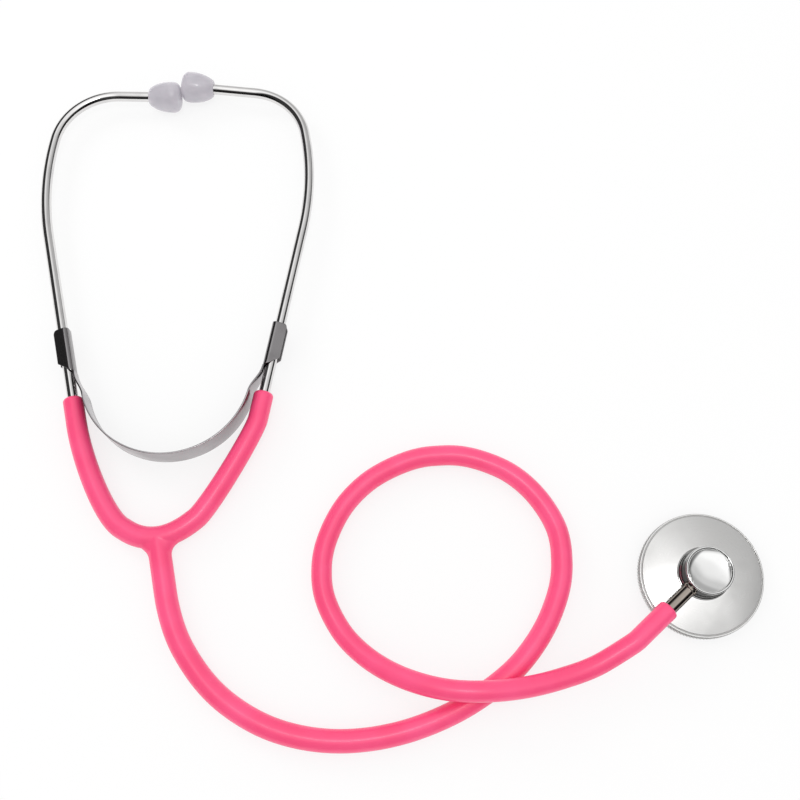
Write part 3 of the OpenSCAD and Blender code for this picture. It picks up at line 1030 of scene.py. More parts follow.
@dataclass
class Fork:
    """Moulded Y in which the two arms and the hose meet."""

    middle: tuple[float, float] = (-0.1945, 0.020)
    left_branch: tuple[float, float, float] = (0.0127, 165.0, 147.0)
    right_branch: tuple[float, float, float] = (0.0139, 23.3, 37.0)
    trunk: tuple[float, float, float] = (0.0112, -78.7, -79.6)
    hose_d: float = 0.0081
    end_run: float = 0.001
    pull_share: float = 0.7
    curve_steps: int = 32
    overrun: float = 0.004
    fillet: float = 0.0042
    fillet_fade: float = 0.85
    stub: float = 0.002
    stub_rings: int = 40
    stub_sides: int = 32
    voxel: float = 0.00028
    fit_rounds: int = 6
    fit_nudge: float = 0.00001
    least_slope: float = 0.2
    sharp: float = 50.0

    def end(self, branch: tuple[float, float, float]) -> np.ndarray:
        """Returns the middle of a branch's open end."""
        return flat(np.array(self.middle) + polar(branch[0], branch[1]), self.hose_d / 2)

    @staticmethod
    def way(branch: tuple[float, float, float]) -> np.ndarray:
        """Returns the direction in which a branch leaves the fork."""
        return flat(polar(1.0, branch[2]), 0.0)

    def arm_line(self, overrun: float) -> np.ndarray:
        """Middle line from arm to arm.

        Args:
            overrun: Length by which it runs past both ends.

        Returns:
            Its points.
        """
        left, right = (
            [
                self.end(branch) - run * self.way(branch)
                for run in (-overrun, self.end_run, self.end_run + self.pull_share * branch[0])
            ]
            for branch in (self.left_branch, self.right_branch)
        )
        curve = bezier([left[1], left[2], right[2], right[1]], self.curve_steps)
        return np.vstack([left[0], curve, right[0]])

    def trunk_line(self, overrun: float) -> np.ndarray:
        """Middle line of the trunk, from the arms down.

        Args:
            overrun: Length by which it runs past its end.

        Returns:
            Its points.
        """
        start = self.arm_line(0.0)[1 + self.curve_steps // 2]
        foot = self.end(self.trunk) - self.end_run * self.way(self.trunk)
        return np.vstack([start, foot, self.end(self.trunk) + overrun * self.way(self.trunk)])

    @staticmethod
    def distance(points: np.ndarray, line: np.ndarray) -> np.ndarray:
        """Distance of points from a line through space.

        Args:
            points: The points.
            line: The line's own points.

        Returns:
            The distance of each point.
        """
        nearest = np.full(len(points), np.inf)
        for start, end in zip(line[:-1], line[1:]):
            way = end - start
            share = np.clip((points - start) @ way / (way @ way), 0.0, 1.0)
            gap = np.linalg.norm(points - start - share[:, None] * way, axis=1)
            nearest = np.minimum(nearest, gap)
        return nearest

    def depth(self, points: np.ndarray) -> np.ndarray:
        """Height of points above the fork's skin, with the corners between its branches filled.

        Args:
            points: The points.

        Returns:
            Each point's height, negative inside.
        """
        arms = self.distance(points, self.arm_line(self.overrun))
        trunk = self.distance(points, self.trunk_line(self.overrun))
        radius, branching = self.hose_d / 2, self.trunk_line(0.0)[0]
        level = np.clip((points[:, 2] - radius) / radius, -1.0, 1.0)
        below = np.clip((points - branching) @ self.way(self.trunk) / radius, 0.0, 1.0)
        filled = self.fillet * (1 - self.fillet_fade * level * level)
        reach = filled * below * below * (3 - 2 * below) + 1e-6
        share = np.clip(0.5 + 0.5 * (trunk - arms) / reach, 0.0, 1.0)
        return trunk * (1 - share) + arms * share - reach * share * (1 - share) - radius

    def build(self, finishes: Finishes) -> bpy.types.Object:
        """Builds the fork as one smooth skin.

        Args:
            finishes: Material of each slot.

        Returns:
            The piece.
        """
        body = bmesh.new()
        for line in (self.arm_line(self.stub), self.trunk_line(self.stub)):
            route = Route(line)
            wall = [[self.hose_d / 2, d] for d in np.linspace(0.0, route.length, self.stub_rings)]
            outline = np.array([[0.0, 0.0], *wall, [0.0, route.length]])
            part = turned("fork_part", route, outline, self.stub_sides)
            body.from_mesh(part.data)
            bpy.data.objects.remove(part)
        mesh = bpy.data.meshes.new("hose_fork_skin")
        body.to_mesh(mesh)
        body.free()
        piece = placed("hose_fork_skin", mesh)
        remesh = piece.modifiers.new("remesh", "REMESH")
        remesh.mode, remesh.voxel_size = "VOXEL", self.voxel
        settled(piece)
        self.fit(piece.data)
        self.trim(piece.data)
        piece.data.shade_smooth()
        piece.data.set_sharp_from_angle(angle=math.radians(self.sharp))
        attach(piece, "tubing")
        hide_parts("hose_fork")
        return dressed(piece, Slot.HOSE, finishes)

    def fit(self, mesh: bpy.types.Mesh) -> None:
        """Draws a mesh's points onto the fork's skin.

        Args:
            mesh: The mesh.
        """
        points = np.empty(len(mesh.vertices) * 3)
        mesh.vertices.foreach_get("co", points)
        points = points.reshape(-1, 3)
        nudge = self.fit_nudge
        for _ in range(self.fit_rounds):
            here = self.depth(points)
            slope = np.stack(
                [(self.depth(points + nudge * axis) - here) / nudge for axis in np.eye(3)], axis=1
            )
            steep = np.maximum((slope * slope).sum(axis=1), self.least_slope)
            points = points - (here / steep)[:, None] * slope
        points[:, 2] = np.clip(points[:, 2], 0.0, self.hose_d)
        mesh.vertices.foreach_set("co", points.ravel())
        mesh.update()

    def trim(self, mesh: bpy.types.Mesh) -> None:
        """Cuts a mesh off flat at the three branch ends and closes it there.

        Args:
            mesh: The mesh.
        """
        body = bmesh.new()
        body.from_mesh(mesh)
        for branch in (self.left_branch, self.right_branch, self.trunk):
            cut = bmesh.ops.bisect_plane(
                body,
                geom=body.verts[:] + body.edges[:] + body.faces[:],
                dist=1e-7,
                plane_co=self.end(branch),
                plane_no=self.way(branch),
                clear_outer=True,
            )
            edges = [e for e in cut["geom_cut"] if isinstance(e, bmesh.types.BMEdge)]
            bmesh.ops.holes_fill(body, edges=edges, sides=0)
        bmesh.ops.recalc_face_normals(body, faces=body.faces)
        body.to_mesh(mesh)
        body.free()


@dataclass
class HoseLoop:
    """The hose: down from the fork, round one loop, over itself and up onto the stem."""

    fork: Fork
    chestpiece: "Chestpiece"
    end_d: float = 0.0071
    cuff_lead: float = 0.005
    rim_round: float = 0.0009
    edge_round: float = 0.0003
    real_length: float = 0.49
    rounds: int = 3
    sides: int = 48
    points: tuple[tuple[float, float, float], ...] = (
        (-0.189, -0.007, 0.0041), (-0.185, -0.0175, 0.0041), (-0.1775, -0.029, 0.0041),
        (-0.1685, -0.038, 0.0041), (-0.157, -0.0453, 0.0041), (-0.145, -0.0497, 0.0041),
        (-0.132, -0.0518, 0.0041), (-0.1185, -0.0515, 0.0041), (-0.105, -0.049, 0.0041),
        (-0.092, -0.0445, 0.0041), (-0.0815, -0.0392, 0.0041), (-0.0715, -0.0325, 0.004),
        (-0.064, -0.0255, 0.004), (-0.0565, -0.0153, 0.004), (-0.051, -0.003, 0.004),
        (-0.0493, 0.008, 0.004), (-0.0505, 0.019, 0.004), (-0.057, 0.031, 0.004),
        (-0.067, 0.0403, 0.004), (-0.0805, 0.046, 0.004), (-0.092, 0.047, 0.004),
        (-0.103, 0.0453, 0.004), (-0.1165, 0.039, 0.004), (-0.127, 0.029, 0.004),
        (-0.1335, 0.0163, 0.004), (-0.1353, 0.0055, 0.004), (-0.1338, -0.005, 0.004),
        (-0.1275, -0.017, 0.0043), (-0.1175, -0.0265, 0.006), (-0.1055, -0.033, 0.009),
        (-0.0922, -0.0368, 0.0115), (-0.0785, -0.0377, 0.0121), (-0.0645, -0.0365, 0.0098),
        (-0.051, -0.0335, 0.0078), (-0.0398, -0.0297, 0.0082),
    )

    def build(self, finishes: Finishes) -> bpy.types.Object:
        """Builds the hose as one skin, with the blunt end that grips the stem.

        Args:
            finishes: Material of each slot.

        Returns:
            The piece.
        """
        fork, chest = self.fork, self.chestpiece
        exit_at, down = fork.end(fork.trunk), fork.way(fork.trunk)
        stem_way = flat(polar(1.0, chest.stem_angle), 0.0)
        face = chest.stem_reach * stem_way + np.array([0.0, 0.0, chest.stem_z])
        grip_end = face + chest.stem_grip * stem_way
        before = grip_end + self.cuff_lead * stem_way
        knots = [exit_at, exit_at + fork.hose_d * down, *self.points, before, grip_end]
        free = Route.through(knots, self.rounds)
        route = Route(np.vstack([free.points, face + 0.5 * chest.stem_grip * stem_way, face]))
        start_r, end_r, bore = fork.hose_d / 2, self.end_d / 2, chest.stem_d / 2 + CLEARANCE
        taper = np.stack([start_r + (end_r - start_r) * free.along / free.length, free.along], axis=1)
        blunt_end = mouth(end_r, bore, route.length, self.rim_round, self.edge_round, 8)
        outline = np.vstack([[[0.0, 0.0]], taper, blunt_end])
        piece = turned("hose_loop", route, outline, self.sides)
        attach(piece, "tubing")
        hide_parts("main_hose", "hose_cuff")
        LOG.info("hose length %.4f m", route.length)
        return dressed(piece, Slot.HOSE, finishes)


# ---- Ear tubes


@dataclass
class TubeFrame:
    """Place and course of the two ear tubes."""

    middle: tuple[float, float] = (-0.1921, 0.0732)
    height: float = 0.0062
    tube_d: float = 0.0041
    spacing: float = 0.0718
    slant: float = 12.0
    lower_run: float = 0.070
    sway_radius: float = 0.117
    sway_angle: float = 22.0
    bend_radius: float = 0.0243
    bends: Mapping[Side, float] = field(default_factory=lambda: {Side.LEFT: 83.0, Side.RIGHT: 72.0})
    tip_len: float = 0.0132
    tip_gap: float = 0.0006
    tip_grip: float = 0.0085
    sleeve_grip: float = 0.0085
    straight_end: float = 0.002
    sway_steps: int = 24
    bend_steps: int = 48

    def out(self, side: Side, points: np.ndarray) -> np.ndarray:
        """Places points from a tube's own plan in the model.

        Args:
            side: The tube's side.
            points: Points as [outward, along the tube] or [outward, along the tube, height].

        Returns:
            The points in the model's frame.
        """
        table = np.atleast_2d(np.asarray(points, float))
        slant = math.radians(self.slant)
        outward = self.spacing / 2 + table[:, 0] * math.cos(slant) + table[:, 1] * math.sin(slant)
        forward = -table[:, 0] * math.sin(slant) + table[:, 1] * math.cos(slant)
        lift = table[:, 2] if table.shape[1] > 2 else np.zeros(len(table))
        x, y = self.middle[0] + side.value * outward, self.middle[1] + forward
        return np.stack([x, y, self.height + lift], axis=1)

    def tip_run(self, side: Side) -> float:
        """Works out the straight run between a tube's upper bend and its ear tip.

        Args:
            side: The tube's side.

        Returns:
            The run's length.
        """
        slant = math.radians(self.slant)
        sway_end = slant - math.radians(self.sway_angle)
        tip_end = sway_end - math.radians(self.bends[side])
        reach = (
            self.spacing / 2
            + self.lower_run * math.sin(slant)
            + self.sway_radius * (math.cos(sway_end) - math.cos(slant))
            + self.bend_radius * (math.cos(tip_end) - math.cos(sway_end))
        )
        return (reach - self.tip_gap / 2) / -math.sin(tip_end) - self.tip_len

    def course(self, side: Side) -> Route:
        """Middle line of a tube, from inside its sleeve to inside its ear tip.

        Args:
            side: The tube's side.

        Returns:
            The line.
        """
        start, heading = np.array([0.0, self.lower_run]), 90.0
        sway = turn_left(start, heading, self.sway_radius, self.sway_angle, self.sway_steps)
        heading += self.sway_angle
        top = turn_left(sway[-1], heading, self.bend_radius, self.bends[side], self.bend_steps)
        last = top[-1] + polar(self.tip_run(side) + self.tip_grip, heading + self.bends[side])
        straight = [[0.0, -self.sleeve_grip], [0.0, self.lower_run - self.straight_end]]
        return Route(self.out(side, np.vstack([straight, sway, top[1:], [last]])))


@dataclass
class EarTube:
    """Bent metal tube of one side, with the soft tip on its end."""

    frame: TubeFrame
    side: Side
    tip_d: float = 0.0124
    hole_d: float = 0.0022
    tip_shares: tuple[tuple[float, float], ...] = (
        (0.0, 0.42), (0.02, 0.5), (0.06, 0.6), (0.12, 0.68), (0.22, 0.79), (0.34, 0.885),
        (0.46, 0.945), (0.58, 0.98), (0.7, 1.0), (0.8, 0.99), (0.87, 0.945), (0.93, 0.85),
        (0.97, 0.72), (0.992, 0.56), (1.0, 0.4),
    )
    tube_rings: int = 260
    tube_sides: int = 40
    tip_sides: int = 72

    def tube(self, finishes: Finishes) -> bpy.types.Object:
        """Builds the bent tube.

        Args:
            finishes: Material of each slot.

        Returns:
            The piece.
        """
        route = self.frame.course(self.side)
        radius = self.frame.tube_d / 2
        wall = [[radius, d] for d in np.linspace(0.0, route.length, self.tube_rings)]
        outline = np.array([[0.0, 0.0], *wall, [0.0, route.length]])
        piece = turned(f"{self.side.word}_tube", route, outline, self.tube_sides)
        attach(piece, f"{self.side.word}_binaural")
        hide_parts(f"{self.side.word}_ear_tube")
        return dressed(piece, Slot.TUBE, finishes)

    def tip(self, finishes: Finishes) -> bpy.types.Object:
        """Builds the soft ear tip, with its sound hole and the bore that grips the tube.

        Args:
            finishes: Material of each slot.

        Returns:
            The piece.
        """
        long, deep = self.frame.tip_len, self.frame.tip_grip
        hole, grip = self.hole_d / 2, self.frame.tube_d / 2 + CLEARANCE
        course = self.frame.course(self.side)
        way = course.headings[-1]
        base = course.points[-1] - deep * way
        shares = np.array(self.tip_shares)
        radii, distances = shares[:, 1] * self.tip_d / 2, shares[:, 0] * long
        knots = np.stack([radii, distances, np.zeros(len(shares))], axis=1)
        bulb = Route.through(knots, 2).points[:, :2]
        nose = eased([(bulb[-1][0], long, 0), (hole, long, BROAD), (hole, deep, 0)])
        foot = [(grip, deep, 0), (grip, 0.0, SOFT), (bulb[0][0], 0.0, SOFT), (*bulb[1], 0)]
        outline = np.vstack([bulb[1:-1], nose, [[grip, deep]], eased(foot)])
        tip_route = Route.straight(base, way, long)
        piece = turned(f"{self.side.word}_tip", tip_route, outline, self.tip_sides)
        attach(piece, f"{self.side.word}_tip")
        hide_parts(f"{self.side.word}_ear_tip")
        return dressed(piece, Slot.EAR_TIP, finishes)

    def build(self, finishes: Finishes) -> None:
        """Builds the tube and its tip."""
        self.tube(finishes)
        self.tip(finishes)


@dataclass
class HoseArm:
    """Arm of the hose on one side, with the sleeve that grips the ear tube."""

    frame: TubeFrame
    fork: Fork
    side: Side
    sleeve_d: float = 0.0075
    sleeve_len: float = 0.0095
    rim_round: float = 0.0016
    pull_shares: Mapping[Side, tuple[float, float]] = field(
        default_factory=lambda: {Side.LEFT: (0.31, 0.175), Side.RIGHT: (0.12, 0.13)}
    )
    curve_steps: int = 60
    taper_steps: int = 16
    rings: int = 90
    sides: int = 48

    def build(self, finishes: Finishes) -> bpy.types.Object:
        """Builds the arm and its sleeve as one skin.

        Args:
            finishes: Material of each slot.

        Returns:
            The piece.
        """
        side, fork, run = self.side, self.fork, self.fork.end_run
        branch = fork.left_branch if side is Side.LEFT else fork.right_branch
        top, foot = self.frame.out(side, np.array([[0.0, 0.0], [0.0, -self.sleeve_len]]))
        down = (foot - top) / self.sleeve_len
        end, way = fork.end(branch), fork.way(branch)
        span = float(np.linalg.norm(end - foot))
        upper, lower = (run + share * span for share in self.pull_shares[side])
        pulls = [foot + run * down, foot + upper * down, end + lower * way, end + run * way]
        curve = bezier(pulls, self.curve_steps)[::-1]
        arm = Route(np.vstack([end, curve, foot]))
        route = Route(np.vstack([end, curve, foot, top]))
        start_r, end_r = fork.hose_d / 2, self.sleeve_d / 2
        # The solid tapers by its own steps, the first and last of them straight
        inner = np.linspace(run, arm.length - run, self.taper_steps - 1)
        knots = np.concatenate([[0.0], inner, [arm.length]])
        along = np.linspace(0.0, arm.length, self.rings)
        radii = np.interp(along, knots, np.linspace(start_r, end_r, self.taper_steps + 1))
        long, rim, bore = route.length, self.rim_round, self.frame.tube_d / 2 + CLEARANCE
        sleeve = [[end_r, d] for d in np.linspace(arm.length, long - rim, 8)[1:-1]]
        blunt_end = mouth(end_r, bore, long, rim, BROAD, 10)
        outline = np.vstack([[[0.0, 0.0]], np.stack([radii, along], axis=1), sleeve, blunt_end])
        piece = turned(f"{side.word}_arm", route, outline, self.sides)
        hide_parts(f"{side.word}_hose_arm", f"{side.word}_hose_sleeve")
        dressed(piece, Slot.HOSE, finishes)
        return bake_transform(piece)


# ---- Spring


@dataclass
class SpringClip:
    """End of the spring, folded round an ear tube as a channel with an open, slanted edge."""

    frame: TubeFrame
    side: Side
    length: float = 0.018
    gap: float = 0.010
    slope: float = 17.0
    reach: float = 0.0031
    cut: float = 0.0045
    fold_r: float = 0.0014
    corner: float = 0.0016
    thickness: float = 0.0006
    edge_past: float = 0.0005
    edge_round: float = 0.00012

    @property
    def web(self) -> float:
        """Distance of the web's middle from the tube's axis."""
        return self.frame.tube_d / 2 + CLEARANCE + self.thickness / 2

    def section(self) -> np.ndarray:
        """Middle line of the folded sheet.

        Returns:
            Its points, as [outward, height].
        """
        slope, web, fold = math.radians(self.slope), self.web, self.fold_r
        centre = (fold - web, (web - fold - (fold - web) * math.sin(slope)) / math.cos(slope))
        tip = np.array([self.reach, (web - self.reach * math.sin(slope)) / math.cos(slope)])
        bend = arc(centre, fold, 90.0 - self.slope, 180.0, 14)
        flange = tip + np.linspace(0.0, 1.0, 10)[:-1, None] * (bend[0] - tip)
        upper = np.vstack([flange, bend])
        lower = upper[::-1] * np.array([1.0, -1.0])
        return np.vstack([upper, [[-web, 0.0]], lower])

    def build(self, finishes: Finishes) -> bpy.types.Object:
        """Builds the clip from sheet.

        Args:
            finishes: Material of each slot.

        Returns:
            The piece.
        """
        line = self.section()
        outer, radius = self.reach + self.edge_past, self.frame.tube_d / 2
        low = np.maximum(line[:, 0] + radius, 0.0) / (outer + radius) * self.cut
        past = np.clip(line[:, 0] - (self.reach - self.corner), 0.0, self.corner)
        high = self.length - (self.corner - np.sqrt(self.corner**2 - past**2))
        shares = np.linspace(0.0, 1.0, 25)[:, None]
        along = self.gap + low + shares * (high - low)
        local = np.stack(np.broadcast_arrays(line[:, 0], along, line[:, 1]), axis=-1)
        rows = self.frame.out(self.side, local.reshape(-1, 3)).reshape(local.shape)
        round_it = np.concatenate([[0.0], np.cumsum(np.linalg.norm(np.diff(line, axis=0), axis=1))])
        course = np.stack(np.broadcast_arrays(along, round_it), axis=-1)
        piece = skin(f"{self.side.word}_clip", rows, course)
        sheet = piece.modifiers.new("sheet", "SOLIDIFY")
        sheet.thickness, sheet.offset, sheet.use_even_offset = self.thickness, 0.0, True
        edges = piece.modifiers.new("edges", "BEVEL")
        edges.width, edges.segments = self.edge_round, 3
        edges.limit_method, edges.angle_limit = "ANGLE", math.radians(50)
        settled(piece)
        piece.data.shade_smooth()
        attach(piece, f"{self.side.word}_binaural")
        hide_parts(f"{self.side.word}_spring_clip")
        return dressed(piece, Slot.SPRING, finishes)


@dataclass
class LeafSpring:
    """Strip of spring steel on edge, bent to a U between the clips."""

    frame: TubeFrame
    clip: SpringClip
    sleeve_d: float = HoseArm.sleeve_d
    width: float = 0.0115
    drop: float = 0.0242
    gap: float = 0.0009
    end_drop: float = 0.0017
    end_run: float = 0.001
    neck_pull: float = 0.35
    end_tuck: float = 0.3
    edge_round: float = 0.00014
    still_foot: float = 0.004
    still_end: float = 0.001

    def half_line(self) -> tuple[np.ndarray, np.ndarray]:
        """Right half of the strip in plan.

        Returns:
            Its points, and the point at which its U ends.
        """
        slant = math.radians(self.frame.slant)
        along = np.array([math.sin(slant), math.cos(slant)])
        out = np.array([math.cos(slant), -math.sin(slant)])
        tube = np.array([self.frame.spacing / 2, 0.0])
        end = tube + self.clip.gap * along - self.clip.web * out
        clear = self.sleeve_d / 2 + self.gap + self.clip.thickness / 2
        u_end = tube - self.end_drop * along - clear * out
        depth = u_end[1] + self.drop
        radius = (u_end[0] ** 2 + depth**2) / (2 * depth)
        turn = math.degrees(math.acos(1 - depth / radius))
        pull = self.neck_pull * float(np.linalg.norm(end - u_end))
        before, last = (end - run * along for run in (pull + self.end_run, self.end_run))
        neck = bezier([u_end, u_end + pull * polar(1.0, turn), before, last], 24)
        bow = arc((0.0, radius - self.drop), radius, -90.0, turn - 90.0, 48)
        return np.vstack([bow, neck[1:], [end]]), u_end

    def build(self, finishes: Finishes) -> None:
        """Builds the strip as two halves, one on each side.

        Args:
            finishes: Material of each slot.
        """
        line, u_end = self.half_line()
        thick, r = self.clip.thickness / 2, self.edge_round
        half_end = float(self.clip.section()[:, 1].max()) - self.end_tuck * self.clip.fold_r
        top = line[-1][1] + self.clip.thickness
        share = np.clip((line[:, 1] - u_end[1]) / (top - u_end[1]), 0.0, 1.0)
        halves = self.width / 2 + (half_end - self.width / 2) * share
        route = Route(np.column_stack([line, np.zeros(len(line))]))
        ways = route.headings[:, :2].copy()
        ways[0] = (1.0, 0.0)
        middle = np.array(self.frame.middle)
        for side in Side:
            rows, course = [], []
            for point, way, h, distance in zip(line, ways, halves, route.along):
                corners = [(thick, -h, r), (thick, h, r), (-thick, h, r), (-thick, -h, r)]
                loop = eased(corners, closed=True, steps=4)
                plan = point + loop[:, :1] * np.array([-way[1], way[0]])
                x, y = middle[0] + side.value * plan[:, 0], middle[1] + plan[:, 1]
                rows.append(np.column_stack([x, y, self.frame.height + loop[:, 1]]))
                course.append(np.column_stack([np.full(len(loop), distance), loop[:, 1]]))
            caps = [np.broadcast_to(row.mean(axis=0), row.shape) for row in (rows[0], rows[-1])]
            grid = np.array([caps[0], *rows, caps[1]])
            table = np.array([course[0], *course, course[-1]])
            piece = skin(f"{side.word}_spring_half", grid, table)
            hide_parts("leaf_spring")
            dressed(piece, Slot.SPRING, finishes)
            foot = np.array([self.still_foot, -self.drop])
            shoulder = line[-1] - np.array([0.0, self.still_end])
            start, end = (
                (middle[0] + side.value * x, middle[1] + y, self.frame.height)
                for x, y in (foot, shoulder)
            )
            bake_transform(piece)


# ---- Chestpiece


@dataclass
class Chestpiece:
    """Turned plate with a hub and a stem, and a knurled ring that holds the diaphragm."""

    ring_d: float = 0.0446
    ring_h: float = 0.0032
    ring_wall: float = 0.0014
    knurl_teeth: int = 120
    knurl_depth: float = 0.00025
    lip_w: float = 0.0022
    rim_h: float = 0.0010
    cone_rise: float = 0.0024
    plate_wall: float = 0.0014
    sheet_t: float = 0.0004
    sheet_step: float = 0.00045
    hub_d: float = 0.017
    foot_d: float = 0.0188
    foot_h: float = 0.0006
    hub_h: float = 0.0082
    bead_w: float = 0.0010
    dish_depth: float = 0.0009
    spigot_r: float = 0.0034
    stem_d: float = 0.0048
    stem_bore: float = 0.0024
    stem_angle: float = 220.0
    stem_reach: float = 0.0189
    stem_grip: float = 0.011
    stem_z_share: float = 0.47
    groove_w: float = 0.0005
    collar_w: float = 0.001
    collar_h: float = 0.00035
    land_w: float = 0.0006
    web_w: float = 0.0018
    swage: float = 0.0006
    line_w: float = 0.00025
    stem_short: float = 0.002
    knurl_root: float = 0.00012
    knurl_base: float = 0.0004
    knurl_top: float = 0.0008

    def __post_init__(self) -> None:
        """Works out the heights and radii that follow from the sizes."""
        self.thread_r = self.ring_d / 2 - self.knurl_depth - self.ring_wall
        self.lip_r = self.thread_r - self.lip_w
        self.rim_r = self.ring_d / 2 - self.knurl_depth
        self.rim_z = self.ring_h + CLEARANCE
        self.cone_z = self.rim_z + self.rim_h
        self.plate_z = self.cone_z + self.cone_rise
        self.top_z = self.plate_z + self.hub_h
        self.stem_z = self.plate_z + self.hub_h * self.stem_z_share
        self.axis = Route.straight((0.0, 0.0, 0.0), (0.0, 0.0, 1.0), 0.02)

    @staticmethod
    def keep(
        piece: bpy.types.Object, slot: Slot, finishes: Finishes, body: str, *nodes: str
    ) -> bpy.types.Object:
        """Dresses a piece, sets it on its body and puts it in its nodes' place.

        Args:
            piece: The piece.
            slot: The record's material slot.
            finishes: Material of each slot.
            body: The body that it rides on.
            *nodes: The nodes that it stands for.

        Returns:
            The same piece.
        """
        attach(piece, body)
        if nodes:
            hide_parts(*nodes)
        return dressed(piece, slot, finishes)

    def plate(self, finishes: Finishes) -> None:
        """Builds the turned plate: rolled rim, groove and shallow cone.

        Args:
            finishes: Material of each slot.
        """
        seat = self.sheet_step + CLEARANCE + self.sheet_t + FACE_GAP
        under, spigot = self.plate_z - self.plate_wall, self.spigot_r
        hole, skirt = spigot + FACE_GAP, self.thread_r - CLEARANCE
        r, roll, top = self.rim_r, self.rim_h / 2, self.cone_z
        foot, land, low = self.foot_d / 2, self.land_w, self.plate_z
        inner = r - self.groove_w - roll
        outer, floor = inner + self.groove_w, top - self.groove_w
        corners = [
            (hole, under, FINE), (spigot + self.web_w, under, BROAD),
            (self.lip_r, seat + self.plate_wall, BROAD), (self.lip_r, seat, FINE),
            (skirt, seat, FINE), (skirt, self.rim_z, 0.5 * FINE),
            (r, self.rim_z, roll), (r, top, roll),
            (outer, top, FINE), (outer, floor, 0.8 * FINE),
            (inner, floor, 0.8 * FINE), (inner, top, FINE),
            (foot + land, low - FINE, land), (foot, low, SOFT), (hole, low, FINE),
        ]
        outline = eased(corners, closed=True, steps=6)
        piece = turned("chest_plate_turned", self.axis, outline, 192)
        self.keep(piece, Slot.PLATE, finishes, "chestpiece", "chest_plate")

    def hub(self, finishes: Finishes) -> None:
        """Builds the hub: flared foot, wall, bright bead and dished top.

        Args:
            finishes: Material of each slot.
        """
        wall, foot, spigot = self.hub_d / 2, self.foot_d / 2, self.spigot_r
        base = self.plate_z + FACE_GAP
        step, flare = base + self.foot_h, foot - wall
        under = self.plate_z - self.plate_wall - self.swage
        bead = self.bead_w / 2
        bead_z = self.top_z - bead
        dish = wall - self.bead_w
        lip, line = dish - self.line_w, bead_z - self.line_w
        flare_arc = arc((foot, step + flare), flare, -90.0, -180.0, 12)
        bead_arc = arc((wall - bead, bead_z), bead, 0.0, 180.0, 20)
        edge = [(spigot, base, 0), (foot, base, FINE), (foot, step, 1.8 * FINE), (*flare_arc[2], 0)]
        groove = [
            (dish, bead_z, 0), (dish, line, FINE), (dish - SOFT, line, FINE), (lip, bead_z, 0),
        ]
        reach = np.linspace(1.0, 0.0, 40)
        hollow = np.stack([lip * reach, bead_z - self.dish_depth * (1 - reach**3.0)], axis=1)
        outline = np.vstack(
            [
                [[0.0, under], [spigot, under], [spigot, base]],
                eased(edge)[1:], flare_arc[3:], bead_arc, eased(groove)[1:], hollow[1:],
            ]
        )
        piece = turned("hub_dished", self.axis, outline, 160)
        self.keep(piece, Slot.HUB, finishes, "chestpiece", "hub")

    def stem(self, finishes: Finishes) -> None:
        """Builds the stem, with its collar at the hub and the plain part that the hose grips.

        Args:
            finishes: Material of each slot; not used, as the stem takes its own finish.
        """
        way = flat(polar(1.0, self.stem_angle), 0.0)
        start = np.array([0.0, 0.0, self.stem_z])
        r, bore, inside = self.stem_d / 2, self.stem_bore / 2, self.spigot_r
        near = self.hub_d / 2 + FACE_GAP
        far, raised = near + self.collar_w, r + self.collar_h
        end = self.stem_reach + self.stem_grip - self.stem_short
        floor = end - BORE_SHOWN
        corners = [
            (0.0, inside, 0), (r, inside, 0), (r, near, FINE), (raised, near, FINE),
            (raised, far, 3 * FINE), (r, far, SOFT), (r, end, BROAD), (bore, end, SOFT),
            (bore, floor, 0), (0.0, floor, 0),
        ]
        piece = turned("stem_tube", Route.straight(start, way, end), eased(corners), 64)
        self.keep(piece, Slot.HUB, {Slot.HUB: STEM_NICKEL.material()}, "chestpiece", "stem")

    def ring(self, finishes: Finishes) -> None:
        """Builds the retaining ring and its knurl.

        Args:
            finishes: Material of each slot.
        """
        body, thread, lip = self.rim_r - FINE, self.thread_r, self.lip_r
        corners = [
            (lip, 0.0, 1.5 * FINE), (body, 0.0, 5 * FINE), (body, self.ring_h, SOFT),
            (thread, self.ring_h, FINE), (thread, self.sheet_step, FINE),
            (lip, self.sheet_step, FINE),
        ]
        piece = turned("ring_turned", self.axis, eased(corners, closed=True), 192)
        self.keep(piece, Slot.PLATE, finishes, "ring", "retaining_ring")
        knurl = Knurl(
            self.ring_d / 2,
            self.knurl_teeth,
            self.knurl_depth + self.knurl_root,
            self.knurl_base,
            self.ring_h - self.knurl_base - self.knurl_top,
        )
        self.keep(knurl.build(finishes[Slot.PLATE]), Slot.PLATE, finishes, "ring")

    def diaphragm(self, finishes: Finishes) -> None:
        """Builds the stepped diaphragm.

        Args:
            finishes: Material of each slot.
        """
        face, edge = self.lip_r - 6 * CLEARANCE, self.thread_r - CLEARANCE
        t, step = self.sheet_t, self.sheet_step + CLEARANCE
        corners = [
            (0.0, 0.0, 0), (face, 0.0, SOFT), (face, step, FINE), (edge, step, 0.5 * FINE),
            (edge, step + t, FINE), (face - t, step + t, SOFT),
            (face - t, t, SOFT), (0.0, t, 0),
        ]
        piece = turned("diaphragm_sheet", self.axis, eased(corners), 128)
        self.keep(piece, Slot.DIAPHRAGM, finishes, "chestpiece", "diaphragm")

    def build(self, finishes: Finishes) -> None:
        """Builds all of the chestpiece.

        Args:
            finishes: Material of each slot.
        """
        self.plate(finishes)
        self.hub(finishes)
        self.stem(finishes)
        self.ring(finishes)
        self.diaphragm(finishes)


